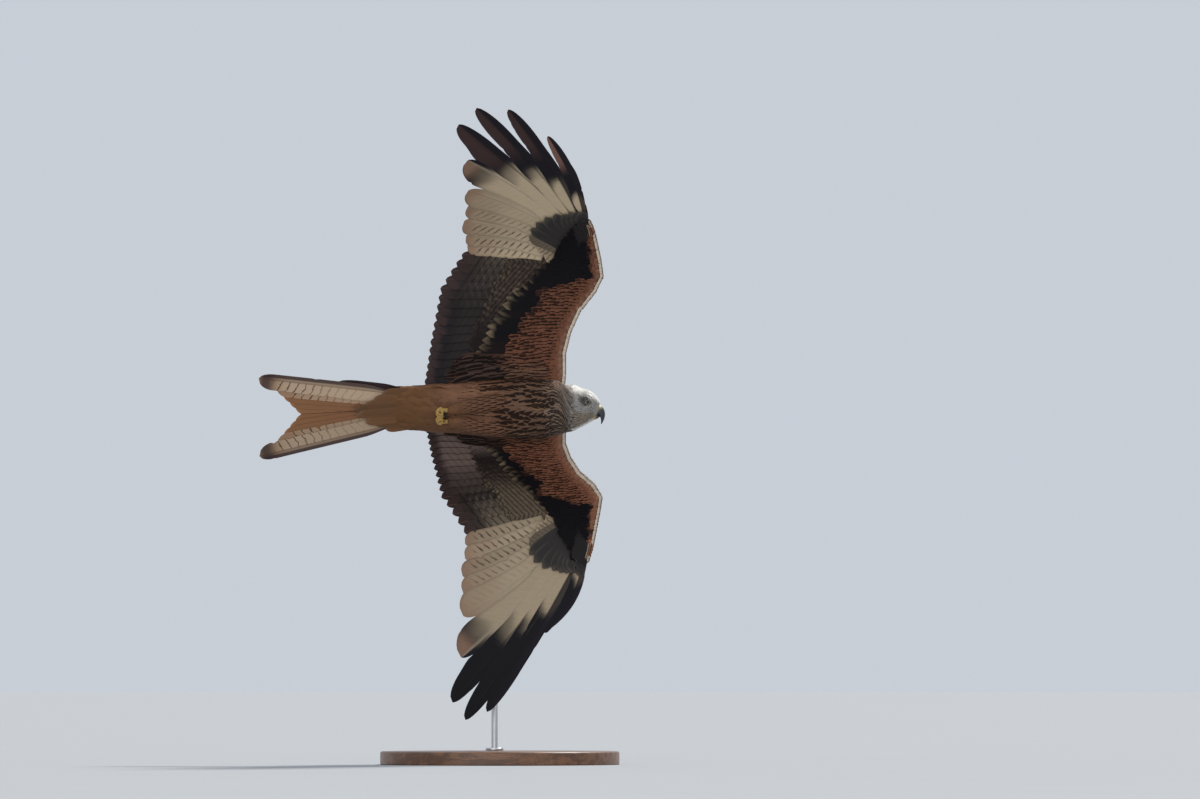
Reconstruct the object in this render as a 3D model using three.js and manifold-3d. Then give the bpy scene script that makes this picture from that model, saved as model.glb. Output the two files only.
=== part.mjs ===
// A red kite, life size, held in a steep banked glide on a plain display stand.
// Millimetres. World frame: +Z up, origin at the middle of the base's underside.
// Bird frame: +X forward (towards the bill), +Y to its left, +Z towards its back.

import * as THREE from 'three';
import { mergeVertices } from 'three/addons/utils/BufferGeometryUtils.js';
import Module from 'manifold-3d';

const wasm = await Module();
wasm.setup();

const { degToRad, lerp, clamp, smoothstep } = THREE.MathUtils;

// Driving dimensions

const gap = 0.3;                       // between one sub-part and the next

const bank = degToRad(69);             // left wing down
const bodyHeight = 670;                // middle of the torso above the floor
const bodySetBack = -30;               // middle of the torso, along world Y

const base = { radius: 225, height: 25, edge: 4, sides: 44 };
const rod = { radius: 6, footY: 190, riseX: -10, entryHeight: 12, bend: 60, sides: 12 };

// Torso sections along the bird's X: half width, height above and below the axis
const torsoSections = [
  { x: -150, width: 42.5, above: 26, below: 30 },
  { x: -125, width: 46, above: 33, below: 38 },
  { x: -88, width: 46, above: 37, below: 43 },
  { x: -42, width: 50, above: 42, below: 49 },
  { x: 8, width: 54, above: 45, below: 54 },
  { x: 52, width: 56, above: 45, below: 56 },
  { x: 86, width: 54, above: 43, below: 54 },
  { x: 108, width: 50, above: 40, below: 50 },
];
const torsoSides = 24;

// The head is held nearer to level than the body
const headPlace = { x: 162, y: -3, z: 7 };
const headRoll = degToRad(55);
const headSections = [
  { x: -22, z: -4.8, tilt: 0, width: 38, height: 42.3 },
  { x: -12, z: -5, tilt: 2, width: 30, height: 37.6 },
  { x: 0, z: -5.8, tilt: 5, width: 24, height: 32.2 },
  { x: 9, z: -8, tilt: 12, width: 19, height: 26.5 },
  { x: 18.5, z: -13.8, tilt: 23, width: 11.5, height: 17.6 },
];
const headSides = 20;

const eye = { x: 2.3, y: 17, z: 0, radius: 7.2 };
const lid = { radius: 6.6, thickness: 1.5 };
const brow = { x: 2, y: 19.5, z: 9, length: 11, depth: 4, height: 3 };

const billSections = [
  { x: 21, z: -10.5, tilt: 25, width: 9, height: 13 },
  { x: 26.3, z: -14, tilt: 40, width: 7.6, height: 10.6 },
  { x: 29.6, z: -19, tilt: 62, width: 6, height: 7.2 },
  { x: 30.2, z: -25, tilt: 86, width: 4.2, height: 4.6 },
  { x: 29.6, z: -31, tilt: 104, width: 2.4, height: 2.4 },
  { x: 28, z: -37, tilt: 112, width: 0.6, height: 0.6 },
];
const mandibleSections = [
  { x: 14.4, z: -26.9, tilt: 23, width: 6.6, height: 3.1 },
  { x: 19, z: -25.7, tilt: -8, width: 5, height: 2.4 },
  { x: 24, z: -24.7, tilt: -10, width: 2.2, height: 1.1 },
];
const nostril = { x: 24.5, y: 7, z: -9.5, radius: 1.6 };
const mouth = { backX: -1, backZ: -25, frontX: 16.5, frontZ: -23.4, depth: 3, height: 1.2 };

// Wing. Laid out flat, with x forward and s outwards from the shoulder along the arch,
// then bent: the arm rises, the hand droops.
const shoulder = { y: 28, z: 25 };
const arch = { inner: 28, outer: -27, bendFrom: 150, bendTo: 330, tipLift: 12, liftFrom: 450, liftTo: 640 };

const tertials = 5;
const secondaries = 12;
const primaries = 10;
const armFeathers = tertials + secondaries;
const armRoot = { x: 0.5, s: 20, stepX: 7.5, stepS: 13.85 };
const handRoot = { x: 128, s: 250, stepX: 3.5, stepS: 8.5 };
const armLengths = [
  { place: 0, length: 146 },
  { place: 6, length: 177 },
  { place: 12, length: 203 },
  { place: 16, length: 194 },
];
const wingSides = {
  left: {
    side: 1,
    wristAngle: 13,
    primaryAngles: [17, 22, 27, 32, 38, 47, 52, 56.5, 59.5, 64],
    primaryLengths: [203, 213, 231, 245, 268, 320, 387, 394, 355, 170],
    primaryBows: [0.03, 0.03, 0.03, 0.03, 0.03, 0.03, 0.03, 0.026, 0.02, 0.09],
  },
  right: {
    side: -1,
    wristAngle: 7,
    primaryAngles: [11, 16, 24, 32, 38.5, 49, 54.6, 60.4, 66.7, 74],
    primaryLengths: [193, 203, 221, 233, 256, 312, 388, 396, 355, 257],
    primaryBows: [0.03, 0.03, 0.03, 0.03, 0.03, 0.03, 0.032, 0.034, 0.036, 0.045],
  },
};
const shoulderAngle = -8;              // innermost tertial, turned in towards the body
const armBow = 0.03;                   // bow of a shaft, as a share of its length
const camber = 0.00035;                // droop behind the wing bones

// Leading edge and back edge of the fleshy part of the wing, and its half thickness
const wingFlesh = [
  { s: -14, front: 120, back: -62, thick: 17 },
  { s: 30, front: 124, back: -30, thick: 14 },
  { s: 70, front: 124, back: 2, thick: 12 },
  { s: 110, front: 134, back: 24, thick: 11 },
  { s: 150, front: 152, back: 50, thick: 10 },
  { s: 185, front: 180, back: 68, thick: 9.5 },
  { s: 215, front: 195, back: 85, thick: 9 },
  { s: 245, front: 191, back: 100, thick: 8 },
  { s: 285, front: 183, back: 120, thick: 6.5 },
  { s: 318, front: 176, back: 135, thick: 5 },
  { s: 338, front: 169, back: 148, thick: 3 },
];
const wristCut = { x: 124, s: 246 };

// Vanes. Each lies a pitch above the next one out, so that it covers that one's inner
// half from above and is covered by it from below.
const vane = { pitch: 1.5, half: 0.3, tipHalf: 0.22, furthestIn: 2.5, furthestOut: 0.85 };
const flightForm = { outer: 10, inner: 24, rows: [0, 0.3, 0.75, 0.95, 1], round: 0.88 };
const primaryRows = [0, 0.3, 0.54, 0.68, 0.86, 0.96, 1];
const primaryRound = [0.88, 0.88, 0.88, 0.86, 0.82, 0.76, 0.8, 0.78, 0.76, 0.7];
// Widths of the primaries' vanes, and of the fingers that the last ones narrow to past their notches
const primaryForm = {
  outer: [10, 10, 12, 14, 15, 15, 12, 13, 13, 12],
  inner: [24, 24, 24, 24, 24, 24, 24, 22, 19, 14],
  innerMost: [40, 40, 40, 40, 42, 48, 40, 26, 22, 14],
  notch: [1, 1, 1, 1, 1, 1, 0.78, 0.62, 0.6, 0.6],
  outerFinger: [10, 10, 12, 14, 15, 15, 12, 12, 12, 10],
  innerFinger: [24, 24, 24, 24, 24, 24, 29, 22, 18, 12],
};

// Covert tiers, by the last feather that each lies over, how far forward of the flight
// feathers' roots they start, and how far behind those roots they end
const greaterCoverts = { outer: 9, inner: 17, forward: 8, clear: 0.7, rows: [0, 0.4, 0.85, 1], round: 0.7 };
const medianCoverts = { outer: 10, inner: 15, forward: 30, clear: 1.3, rows: [0, 0.7, 1], round: 0.7, flat: true };
const covertEnds = {
  upperGreater: { arm: [84, 92, 92, 88], hand: [82, 84, 86, 88, 90, 92, 92, 88, 80, 62] },
  upperMedian: { arm: [46, 50, 48, 42], hand: [36, 36, 36, 36, 36, 34, 32, 30, 28, 26] },
  underGreater: { arm: [82, 96, 110, 104], hand: [44, 68, 92, 100, 95, 84, 72, 62, 52, 44] },
  underMedian: { arm: [62, 58, 50, 26], hand: [28, 30, 32, 34, 34, 32, 30, 28, 26, 24] },
};
const covertCounts = { arm: 8, hand: 6, armMedian: 6, handMedian: 4 };
const alula = { x: 170, s: 258, stepX: 4, lengths: [94, 76, 58], angle: 85, width: 8, root: 3, lift: 8.5 };

// Tail
const tailFeathers = 6;                // on each side of the middle
const tail = {
  rootX: -175,
  rootY: 3,
  rootStep: 4.6,
  yaw: degToRad(3.4),
  angle: 1.5,
  angleStep: 1.8,
  hollow: 0.0012,
  lengths: [202, 211, 222, 234, 247, 282],
  outer: [13, 13, 13, 13, 13, 11.5],
  inner: [17, 20, 20, 20, 21, 21],
  rows: [0, 0.14, 0.5, 0.86, 0.95, 1],
  round: 0.84,
  middleLift: 1.3,
};
const tailCoverts = {
  x: -166,
  step: 11,
  half: 16,
  rows: [0, 0.35, 0.82, 1],
  layer: 1.8,
  under: { count: 5, lengths: [112, 100, 72], root: -6, lift: -4.6 },
  upper: { count: 3, lengths: [92, 78], root: 5, lift: 5 },
};
// A tail feather still growing lies along the bird's right edge of the tail
const growingFeather = { y: -35, length: 132, angle: 10.5, half: 8, lift: 3.4 };
const tailSections = [
  { x: -150 - gap, width: 42.5, above: 26, below: 30 },
  { x: -170, width: 42, above: 17, below: 20 },
  { x: -195, width: 38, above: 8, below: 10 },
  { x: -218, width: 32, above: 3, below: 3.5 },
];
const tailSides = 16;

// Legs, tucked back under the belly
const legSections = [
  { x: 22, y: 24, z: -40, width: 11, height: 10 },
  { x: -12, y: 23, z: -45, width: 17, height: 15 },
  { x: -52, y: 18, z: -46, width: 15, height: 13 },
  { x: -84, y: 13, z: -46, width: 10, height: 8.5 },
  { x: -98, y: 11, z: -46, width: 6, height: 5.5 },
];
const foot = { x: -98 - gap, y: 11, z: -46, tarsus: 4.6, toe: 3.4, claw: 1.7 };

// Materials

function finish(colour, roughness, metalness = 0) {
  return new THREE.MeshStandardMaterial({ color: colour, roughness, metalness });
}

const finishes = {
  wood: () => finish(0x6b4a30, 0.5),
  steel: () => finish(0x8d9094, 0.35, 1),
  rufous: () => finish(0x8a5434, 0.9),
  paleHead: () => finish(0xb9b5ac, 0.9),
  darkVane: () => finish(0x3a302c, 0.85),
  tailVane: () => finish(0xa9653a, 0.85),
  horn: () => finish(0x1d1f24, 0.35),
  iris: () => finish(0xd8c27a, 0.1),
  scale: () => finish(0xd9a53c, 0.6),
};

// Closed meshes

function closedMesh(points, triangles) {
  const position = new Float32Array(points.length * 3);
  points.forEach((point, i) => point.toArray(position, 3 * i));
  let volume = 0;
  for (const [a, b, c] of triangles) {
    volume += points[a].dot(new THREE.Vector3().crossVectors(points[b], points[c]));
  }
  const outward = volume > 0 ? triangles : triangles.map(([a, b, c]) => [a, c, b]);
  const geometry = new THREE.BufferGeometry();
  geometry.setAttribute('position', new THREE.BufferAttribute(position, 3));
  geometry.setIndex(outward.flat());
  return geometry;
}

// Rings of equal length, joined in turn and closed by a fan at each end
function skinOver(rings) {
  const sides = rings[0].length;
  const points = rings.flat();
  const triangles = [];
  for (let r = 0; r + 1 < rings.length; r += 1) {
    for (let i = 0; i < sides; i += 1) {
      const a = r * sides + i;
      const b = r * sides + (i + 1) % sides;
      triangles.push([a, b, b + sides], [a, b + sides, a + sides]);
    }
  }
  for (const r of [0, rings.length - 1]) {
    const middle = new THREE.Vector3();
    rings[r].forEach((point) => middle.addScaledVector(point, 1 / sides));
    points.push(middle);
    for (let i = 0; i < sides; i += 1) {
      const a = r * sides + i;
      const b = r * sides + (i + 1) % sides;
      triangles.push(r === 0 ? [b, a, points.length - 1] : [a, b, points.length - 1]);
    }
  }
  return closedMesh(points, triangles);
}

// A thin sheet from two grids of points, split into triangles alike on both faces
function sheet(upper, lower) {
  const rows = upper.length;
  const columns = upper[0].length;
  const points = [...upper.flat(), ...lower.flat()];
  const under = rows * columns;
  const triangles = [];
  for (let r = 0; r + 1 < rows; r += 1) {
    for (let c = 0; c + 1 < columns; c += 1) {
      const a = r * columns + c;
      const b = a + 1;
      const d = a + columns;
      const e = d + 1;
      triangles.push([a, b, e], [a, e, d]);
      triangles.push([under + b, under + a, under + e], [under + e, under + a, under + d]);
    }
  }
  const rim = [];
  for (let c = 0; c + 1 < columns; c += 1) rim.push(c);
  for (let r = 0; r + 1 < rows; r += 1) rim.push(r * columns + columns - 1);
  for (let c = columns - 1; c > 0; c -= 1) rim.push((rows - 1) * columns + c);
  for (let r = rows - 1; r > 0; r -= 1) rim.push(r * columns);
  rim.forEach((a, i) => {
    const b = rim[(i + 1) % rim.length];
    triangles.push([b, a, under + a], [b, under + a, under + b]);
  });
  return closedMesh(points, triangles);
}

// Joining and cutting

function solidOf(geometry) {
  const bare = geometry.clone();
  bare.deleteAttribute('normal');
  bare.deleteAttribute('uv');
  const merged = mergeVertices(bare, 1e-4);
  return new wasm.Manifold(new wasm.Mesh({
    numProp: 3,
    vertProperties: Float32Array.from(merged.attributes.position.array),
    triVerts: Uint32Array.from(merged.index.array),
  }));
}

function geometryOf(solid) {
  const mesh = solid.getMesh();
  const geometry = new THREE.BufferGeometry();
  const position = new Float32Array(mesh.numVert * 3);
  for (let i = 0; i < mesh.numVert; i += 1) {
    position.set(mesh.vertProperties.subarray(i * mesh.numProp, i * mesh.numProp + 3), 3 * i);
  }
  geometry.setAttribute('position', new THREE.BufferAttribute(position, 3));
  geometry.setIndex(Array.from(mesh.triVerts));
  return geometry;
}

function joined(geometries) {
  return geometries.map(solidOf).reduce((whole, piece) => whole.add(piece));
}

function largest(solid) {
  return solid.decompose().reduce((best, piece) => (piece.volume() > best.volume() ? piece : best));
}

// One closed body: the pieces joined, the cutters taken away, loose scraps dropped
function fused(geometries, cutters = []) {
  const whole = joined(geometries);
  const cut = cutters.reduce((rest, cutter) => rest.subtract(solidOf(cutter)), whole);
  return geometryOf(largest(cut));
}

// Values between stations

function along(stations, key, value, name) {
  const last = stations.length - 1;
  if (value <= stations[0][key]) return stations[0][name];
  if (value >= stations[last][key]) return stations[last][name];
  const i = stations.findIndex((station) => station[key] > value) - 1;
  const t = (value - stations[i][key]) / (stations[i + 1][key] - stations[i][key]);
  return lerp(stations[i][name], stations[i + 1][name], t);
}

// Sections. A ring is an ellipse with its own height above and below.

function ring({ centre, side, up, width, above, below, sides, grow = 0 }) {
  return Array.from({ length: sides }, (_, i) => {
    const turn = (2 * Math.PI * i) / sides;
    const rise = Math.sin(turn);
    const tall = (rise > 0 ? above : below) + grow;
    return centre.clone()
      .addScaledVector(side, Math.cos(turn) * (width + grow))
      .addScaledVector(up, rise * tall);
  });
}

const lateral = new THREE.Vector3(0, 1, 0);
const dorsal = new THREE.Vector3(0, 0, 1);

function bodyRing(section, grow = 0) {
  return ring({
    centre: new THREE.Vector3(section.x, 0, 0),
    side: lateral,
    up: dorsal,
    sides: torsoSides,
    grow,
    ...section,
  });
}

function torsoGeometry(grow = 0) {
  return skinOver(torsoSections.map((section) => bodyRing(section, grow)));
}

// Head frame: the same forward axis as the body, rolled back towards level

const headFrame = new THREE.Matrix4()
  .makeRotationX(headRoll)
  .setPosition(headPlace.x, headPlace.y, headPlace.z);

function headRing(section, grow = 0) {
  const tilt = degToRad(section.tilt);
  return ring({
    centre: new THREE.Vector3(section.x, 0, section.z),
    side: lateral,
    up: new THREE.Vector3(Math.sin(tilt), 0, Math.cos(tilt)),
    width: section.width,
    above: section.height,
    below: section.height,
    sides: headSides,
    grow,
  });
}

// The neck runs from the front of the torso to the back of the head
function neckGeometry(grow = 0) {
  const front = torsoSections[torsoSections.length - 1];
  const nape = headSections[0];
  const headCentre = new THREE.Vector3(nape.x - gap, 0, nape.z).applyMatrix4(headFrame);
  const bodyCentre = new THREE.Vector3(front.x + gap, 0, 0);
  const steps = 4;
  const rings = [];
  for (let i = 0; i <= steps; i += 1) {
    const t = i / steps;
    const roll = headRoll * smoothstep(t, 0, 1);
    rings.push(ring({
      centre: bodyCentre.clone().lerp(headCentre, t),
      side: new THREE.Vector3(0, Math.cos(roll), Math.sin(roll)),
      up: new THREE.Vector3(0, -Math.sin(roll), Math.cos(roll)),
      width: lerp(front.width, nape.width, t),
      above: lerp(front.above, nape.height, t),
      below: lerp(front.below, nape.height, t),
      sides: torsoSides,
      grow,
    }));
  }
  return skinOver(rings);
}

function ellipsoid(centre, radii, columns = 12, rows = 8) {
  const geometry = new THREE.SphereGeometry(1, columns, rows);
  geometry.scale(radii.x, radii.y, radii.z);
  geometry.translate(centre.x, centre.y, centre.z);
  return geometry;
}

function eyeball(side, grow = 0) {
  const radius = eye.radius + grow;
  const centre = new THREE.Vector3(eye.x, side * eye.y, eye.z);
  return ellipsoid(centre, new THREE.Vector3(radius, radius, radius), 16, 8);
}

function lidRing(side) {
  const geometry = new THREE.TorusGeometry(lid.radius, lid.thickness, 5, 16);
  geometry.rotateX(Math.PI / 2);
  geometry.translate(eye.x, side * (eye.y + 3.6), eye.z);
  return geometry;
}

function browRidge(side) {
  const centre = new THREE.Vector3(brow.x, side * brow.y, brow.z);
  return ellipsoid(centre, new THREE.Vector3(brow.length, brow.depth, brow.height), 8, 6);
}

// The line of the mouth: a thin groove running back from the bill on both sides
function mouthGroove(side) {
  const length = Math.hypot(mouth.frontX - mouth.backX, mouth.frontZ - mouth.backZ);
  const geometry = new THREE.BoxGeometry(length, 2 * mouth.depth, mouth.height);
  geometry.rotateY(-Math.atan2(mouth.frontZ - mouth.backZ, mouth.frontX - mouth.backX));
  geometry.rotateZ(-side * Math.atan2(7, length));
  geometry.translate((mouth.backX + mouth.frontX) / 2, side * 15.5, (mouth.backZ + mouth.frontZ) / 2);
  return geometry;
}

function headGeometry() {
  const skull = skinOver(headSections.map((section) => headRing(section)));
  const additions = [1, -1].flatMap((side) => [lidRing(side), browRidge(side)]);
  const sockets = [1, -1].map((side) => eyeball(side, gap));
  const grooves = [1, -1].map((side) => mouthGroove(side));
  return fused([skull, ...additions], [...sockets, ...grooves]);
}

function billGeometry() {
  const horn = skinOver(billSections.map((section) => headRing({ ...section, x: section.x + gap })));
  const nostrils = [1, -1].map((side) => ellipsoid(
    new THREE.Vector3(nostril.x, side * nostril.y, nostril.z),
    new THREE.Vector3(nostril.radius * 1.4, nostril.radius * 1.5, nostril.radius * 0.8),
    8,
    6,
  ));
  return fused([horn], nostrils);
}

function mandibleGeometry() {
  const lower = skinOver(mandibleSections.map((section) => headRing({ ...section, x: section.x + gap })));
  const upper = skinOver(billSections.map((section) => headRing({ ...section, x: section.x + gap }, gap)));
  const face = skinOver(headSections.map((section) => headRing(section, gap)));
  return fused([lower], [upper, face]);
}

// The wing's arch

const archStep = 2;
const archPoints = [{ y: shoulder.y, z: shoulder.z }];

function archAngle(s) {
  const droop = smoothstep(s, arch.bendFrom, arch.bendTo);
  const lift = smoothstep(s, arch.liftFrom, arch.liftTo);
  return degToRad(lerp(arch.inner, arch.outer, droop) + arch.tipLift * lift);
}

for (let s = 0; s < 720; s += archStep) {
  const angle = archAngle(s + archStep / 2);
  const last = archPoints[archPoints.length - 1];
  archPoints.push({ y: last.y + archStep * Math.cos(angle), z: last.z + archStep * Math.sin(angle) });
}

// From the flat layout (x, s, height above the wing's middle surface) to the bird frame
function bent(wing, x, s, height) {
  const angle = archAngle(s);
  let y = shoulder.y + Math.min(s, 0) * Math.cos(angle);
  let z = shoulder.z + Math.min(s, 0) * Math.sin(angle);
  if (s > 0) {
    const place = s / archStep;
    const i = Math.min(Math.floor(place), archPoints.length - 2);
    y = lerp(archPoints[i].y, archPoints[i + 1].y, place - i);
    z = lerp(archPoints[i].z, archPoints[i + 1].z, place - i);
  }
  return new THREE.Vector3(
    x,
    wing.side * (y - height * Math.sin(angle)),
    z + height * Math.cos(angle),
  );
}

// How far out the middle surface lies at s
function wingY(s) {
  return bent({ side: 1 }, 0, s, 0).y;
}

// The fan of flight feathers. Place q counts from the innermost tertial out to the last primary.

const wristPlace = armFeathers - 1;

function atPlace(values, q) {
  const place = clamp(q, 0, values.length - 1);
  const i = Math.min(Math.floor(place), values.length - 2);
  return lerp(values[i], values[i + 1], place - i);
}

function fanRoot(q) {
  if (q <= wristPlace) return { x: armRoot.x + armRoot.stepX * q, s: armRoot.s + armRoot.stepS * q };
  const place = q - armFeathers;
  return { x: handRoot.x + handRoot.stepX * place, s: handRoot.s + handRoot.stepS * place };
}

function fanAngle(wing, q) {
  const turn = Math.max(q, 0) / wristPlace;
  if (q <= wristPlace) return lerp(shoulderAngle, wing.wristAngle, turn ** 1.5);
  return atPlace([wing.wristAngle, ...wing.primaryAngles], q - wristPlace);
}

function armLength(q) {
  return along(armLengths, 'place', q, 'length');
}

function fanLength(wing, q) {
  if (q <= wristPlace) return armLength(q);
  return atPlace([armLength(wristPlace), ...wing.primaryLengths], q - wristPlace);
}

function fanBow(wing, q) {
  return q <= wristPlace ? armBow : atPlace(wing.primaryBows, q - armFeathers);
}

// A point at u behind a feather's root, and across it by v towards the leading edge
function fanPoint(wing, q, u, v = 0) {
  const root = fanRoot(q);
  const angle = degToRad(fanAngle(wing, q));
  const length = fanLength(wing, q);
  const t = clamp(u / length, 0, 1);
  const across = v + 4 * fanBow(wing, q) * length * t * (1 - t);
  return {
    x: root.x - u * Math.cos(angle) + across * Math.sin(angle),
    s: root.s + u * Math.sin(angle) + across * Math.cos(angle),
    droop: -camber * Math.max(u, 0) ** 2,
  };
}

// The place in the fan whose shaft passes through a point of the flat layout
function fanPlace(wing, near, x, s) {
  let q = near;
  for (let i = 0; i < 4; i += 1) {
    const root = fanRoot(q);
    const angle = degToRad(fanAngle(wing, q));
    const u = (root.x - x) * Math.cos(angle) + (s - root.s) * Math.sin(angle);
    const shaft = fanPoint(wing, q, u);
    const off = (x - shaft.x) * Math.sin(angle) + (s - shaft.s) * Math.cos(angle);
    q += off / fanSpacing(wing, q, u);
  }
  return q;
}

// How far apart neighbouring shafts are at u
function fanSpacing(wing, q, u) {
  const before = fanPoint(wing, q - 0.5, u);
  const after = fanPoint(wing, q + 0.5, u);
  const angle = degToRad(fanAngle(wing, q));
  return Math.max((after.x - before.x) * Math.sin(angle) + (after.s - before.s) * Math.cos(angle), 4);
}

// Share of its full width that a vane has at t: a narrow root and a rounded tip
function vaneWidth(t, round) {
  const opening = lerp(0.12, 1, smoothstep(t, 0.02, 0.3));
  const past = clamp((t - round) / (1 - round), 0, 1);
  return opening * Math.max(Math.sqrt(1 - past * past), 0.14);
}

// One vane over the fan at place q, from u = start to u = end, lifted off the wing's middle
function fanVane(wing, form) {
  const { q, start, end, rows, round, stride = 1, lift } = form;
  const upper = [];
  const lower = [];
  for (const t of rows) {
    const u = lerp(start, end, t);
    const share = vaneWidth(t, round);
    const spacing = fanSpacing(wing, q, u) * stride;
    const half = t === 1 ? vane.tipHalf : vane.half;
    const above = [];
    const below = [];
    const inwards = Math.min(form.inner(t) * share, spacing * vane.furthestIn);
    const outwards = Math.min(form.outer(t) * share, spacing * vane.furthestOut);
    for (const v of form.flat ? [-inwards, outwards] : [-inwards, 0, outwards]) {
      const point = fanPoint(wing, q, u, v);
      const tilt = (vane.pitch / stride) * (fanPlace(wing, q, point.x, point.s) - q);
      const height = point.droop + lift(t, point.s) + tilt;
      above.push(bent(wing, point.x, point.s, height + half));
      below.push(bent(wing, point.x, point.s, height - half));
    }
    upper.push(above);
    lower.push(below);
  }
  return sheet(upper, lower);
}

function flightFeather(wing, q) {
  const length = fanLength(wing, q);
  const place = q - armFeathers;
  if (place < 0) {
    const { rows, round, outer, inner } = flightForm;
    return fanVane(wing, { q, start: 0, end: length, rows, round, outer: () => outer, inner: () => inner, lift: () => 0 });
  }
  const past = (t) => smoothstep(t, primaryForm.notch[place] - 0.06, primaryForm.notch[place] + 0.1);
  const closed = (t) => {
    const spacing = fanSpacing(wing, q, t * length);
    return clamp(spacing - 2, primaryForm.inner[place], primaryForm.innerMost[place]);
  };
  return fanVane(wing, {
    q,
    start: 0,
    end: length,
    rows: primaryRows,
    round: primaryRound[place],
    outer: (t) => lerp(primaryForm.outer[place], primaryForm.outerFinger[place], past(t)),
    inner: (t) => (primaryForm.notch[place] < 1 ? lerp(closed(t), primaryForm.innerFinger[place], past(t)) : closed(t)),
    lift: () => 0,
  });
}

// Heights of the tiers off the middle surface, each clear of the one it lies on
const flightTop = vane.pitch * vane.furthestOut + vane.half;
const flightBottom = -vane.pitch * vane.furthestIn - vane.half;
const tierTop = vane.pitch * 0.45 + vane.half;
const tierBottom = vane.pitch * 0.85 + vane.half;
const tierLifts = {
  upperGreater: flightTop + greaterCoverts.clear + tierBottom,
  underGreater: flightBottom - greaterCoverts.clear - tierTop,
};
tierLifts.upperMedian = tierLifts.upperGreater + tierTop + medianCoverts.clear + tierBottom;
tierLifts.underMedian = tierLifts.underGreater - tierBottom - medianCoverts.clear - tierTop;

function tierVanes(wing, tier, form, onHand, count) {
  const first = onHand ? armFeathers : 0;
  const last = onHand ? armFeathers + primaries - 1 : wristPlace;
  const stride = (last - first) / (count - 1);
  const ends = covertEnds[tier];
  const lifted = tierLifts[tier];
  return Array.from({ length: count }, (_, i) => {
    const share = i / (count - 1);
    const listed = onHand ? ends.hand : ends.arm;
    return fanVane(wing, {
      q: lerp(first, last, share),
      start: -form.forward,
      end: atPlace(listed, share * (listed.length - 1)),
      rows: form.rows,
      round: form.round,
      flat: form.flat,
      stride,
      outer: () => form.outer,
      inner: () => form.inner,
      lift: (t, s) => {
        const inFlesh = Math.sign(lifted) * along(wingFlesh, 's', s, 'thick') * 0.45;
        return lerp(inFlesh, lifted, smoothstep(t, 0, 0.35));
      },
    });
  });
}

function alulaVanes(wing) {
  const angle = degToRad(alula.angle);
  return alula.lengths.map((length, i) => {
    const upper = [];
    const lower = [];
    for (const t of [0, 0.3, 0.8, 1]) {
      const share = vaneWidth(t, 0.7);
      const u = length * t;
      const height = lerp(alula.root, alula.lift + i * vane.pitch, smoothstep(t, 0, 0.4));
      const across = [-1, 1].map((k) => k * alula.width * share);
      const points = across.map((v) => [
        alula.x + alula.stepX * i - u * Math.cos(angle) + v,
        alula.s + u * Math.sin(angle),
      ]);
      upper.push(points.map(([x, out]) => bent(wing, x, out, height + vane.half)));
      lower.push(points.map(([x, out]) => bent(wing, x, out, height - vane.half)));
    }
    return sheet(upper, lower);
  });
}

// Fleshy part of the wing between two places along its arch
function wingFleshGeometry(wing, from, to, steps) {
  const sides = 8;
  const rings = [];
  for (let i = 0; i <= steps; i += 1) {
    const s = lerp(from, to, i / steps);
    const front = along(wingFlesh, 's', s, 'front');
    const back = along(wingFlesh, 's', s, 'back');
    const thick = along(wingFlesh, 's', s, 'thick');
    rings.push(Array.from({ length: sides }, (_, k) => {
      const turn = (2 * Math.PI * k) / sides;
      const chord = (1 + Math.cos(turn)) / 2;
      const taper = lerp(0.55, 1, smoothstep(chord, 0, 0.6));
      return bent(wing, lerp(back, front, chord), s, Math.sin(turn) * thick * taper);
    }));
  }
  return skinOver(rings);
}

// Everything on one side of the wrist, as a tall block that cuts it away
function wristSide(wing, towardsHand) {
  const angle = degToRad((wing.wristAngle + wing.primaryAngles[0]) / 2);
  const out = towardsHand ? 1 : -1;
  const reach = 700;
  const tall = 400;
  const edge = [150, -300].map((ahead) => {
    const x = wristCut.x + ahead;
    return new THREE.Vector2(x, wingY(wristCut.s - ahead * Math.tan(angle)) - out * 0.6 * gap);
  });
  const shape = new THREE.Shape([
    ...edge,
    new THREE.Vector2(edge[1].x, edge[1].y + out * reach),
    new THREE.Vector2(edge[0].x, edge[0].y + out * reach),
  ].map((point) => new THREE.Vector2(point.x, wing.side * point.y)));
  const geometry = new THREE.ExtrudeGeometry(shape, { depth: 2 * tall, bevelEnabled: false, steps: 1 });
  geometry.translate(0, 0, -tall);
  return geometry;
}

function bodyCutters() {
  return [torsoGeometry(gap + 0.1), neckGeometry(gap + 0.1)];
}

function armGeometry(wing) {
  const pieces = [wingFleshGeometry(wing, -14, 256, 8)];
  for (let q = 0; q < armFeathers; q += 1) pieces.push(flightFeather(wing, q));
  for (const tier of ['upperGreater', 'underGreater']) {
    pieces.push(...tierVanes(wing, tier, greaterCoverts, false, covertCounts.arm));
  }
  for (const tier of ['upperMedian', 'underMedian']) {
    pieces.push(...tierVanes(wing, tier, medianCoverts, false, covertCounts.armMedian));
  }
  return fused(pieces, [wristSide(wing, true), ...bodyCutters()]);
}

function handGeometry(wing) {
  const pieces = [wingFleshGeometry(wing, 215, 338, 4), ...alulaVanes(wing)];
  for (let i = 0; i < primaries; i += 1) pieces.push(flightFeather(wing, armFeathers + i));
  for (const tier of ['upperGreater', 'underGreater']) {
    pieces.push(...tierVanes(wing, tier, greaterCoverts, true, covertCounts.hand));
  }
  for (const tier of ['upperMedian', 'underMedian']) {
    pieces.push(...tierVanes(wing, tier, medianCoverts, true, covertCounts.handMedian));
  }
  return fused(pieces, [wristSide(wing, false)]);
}

// Tail

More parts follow.
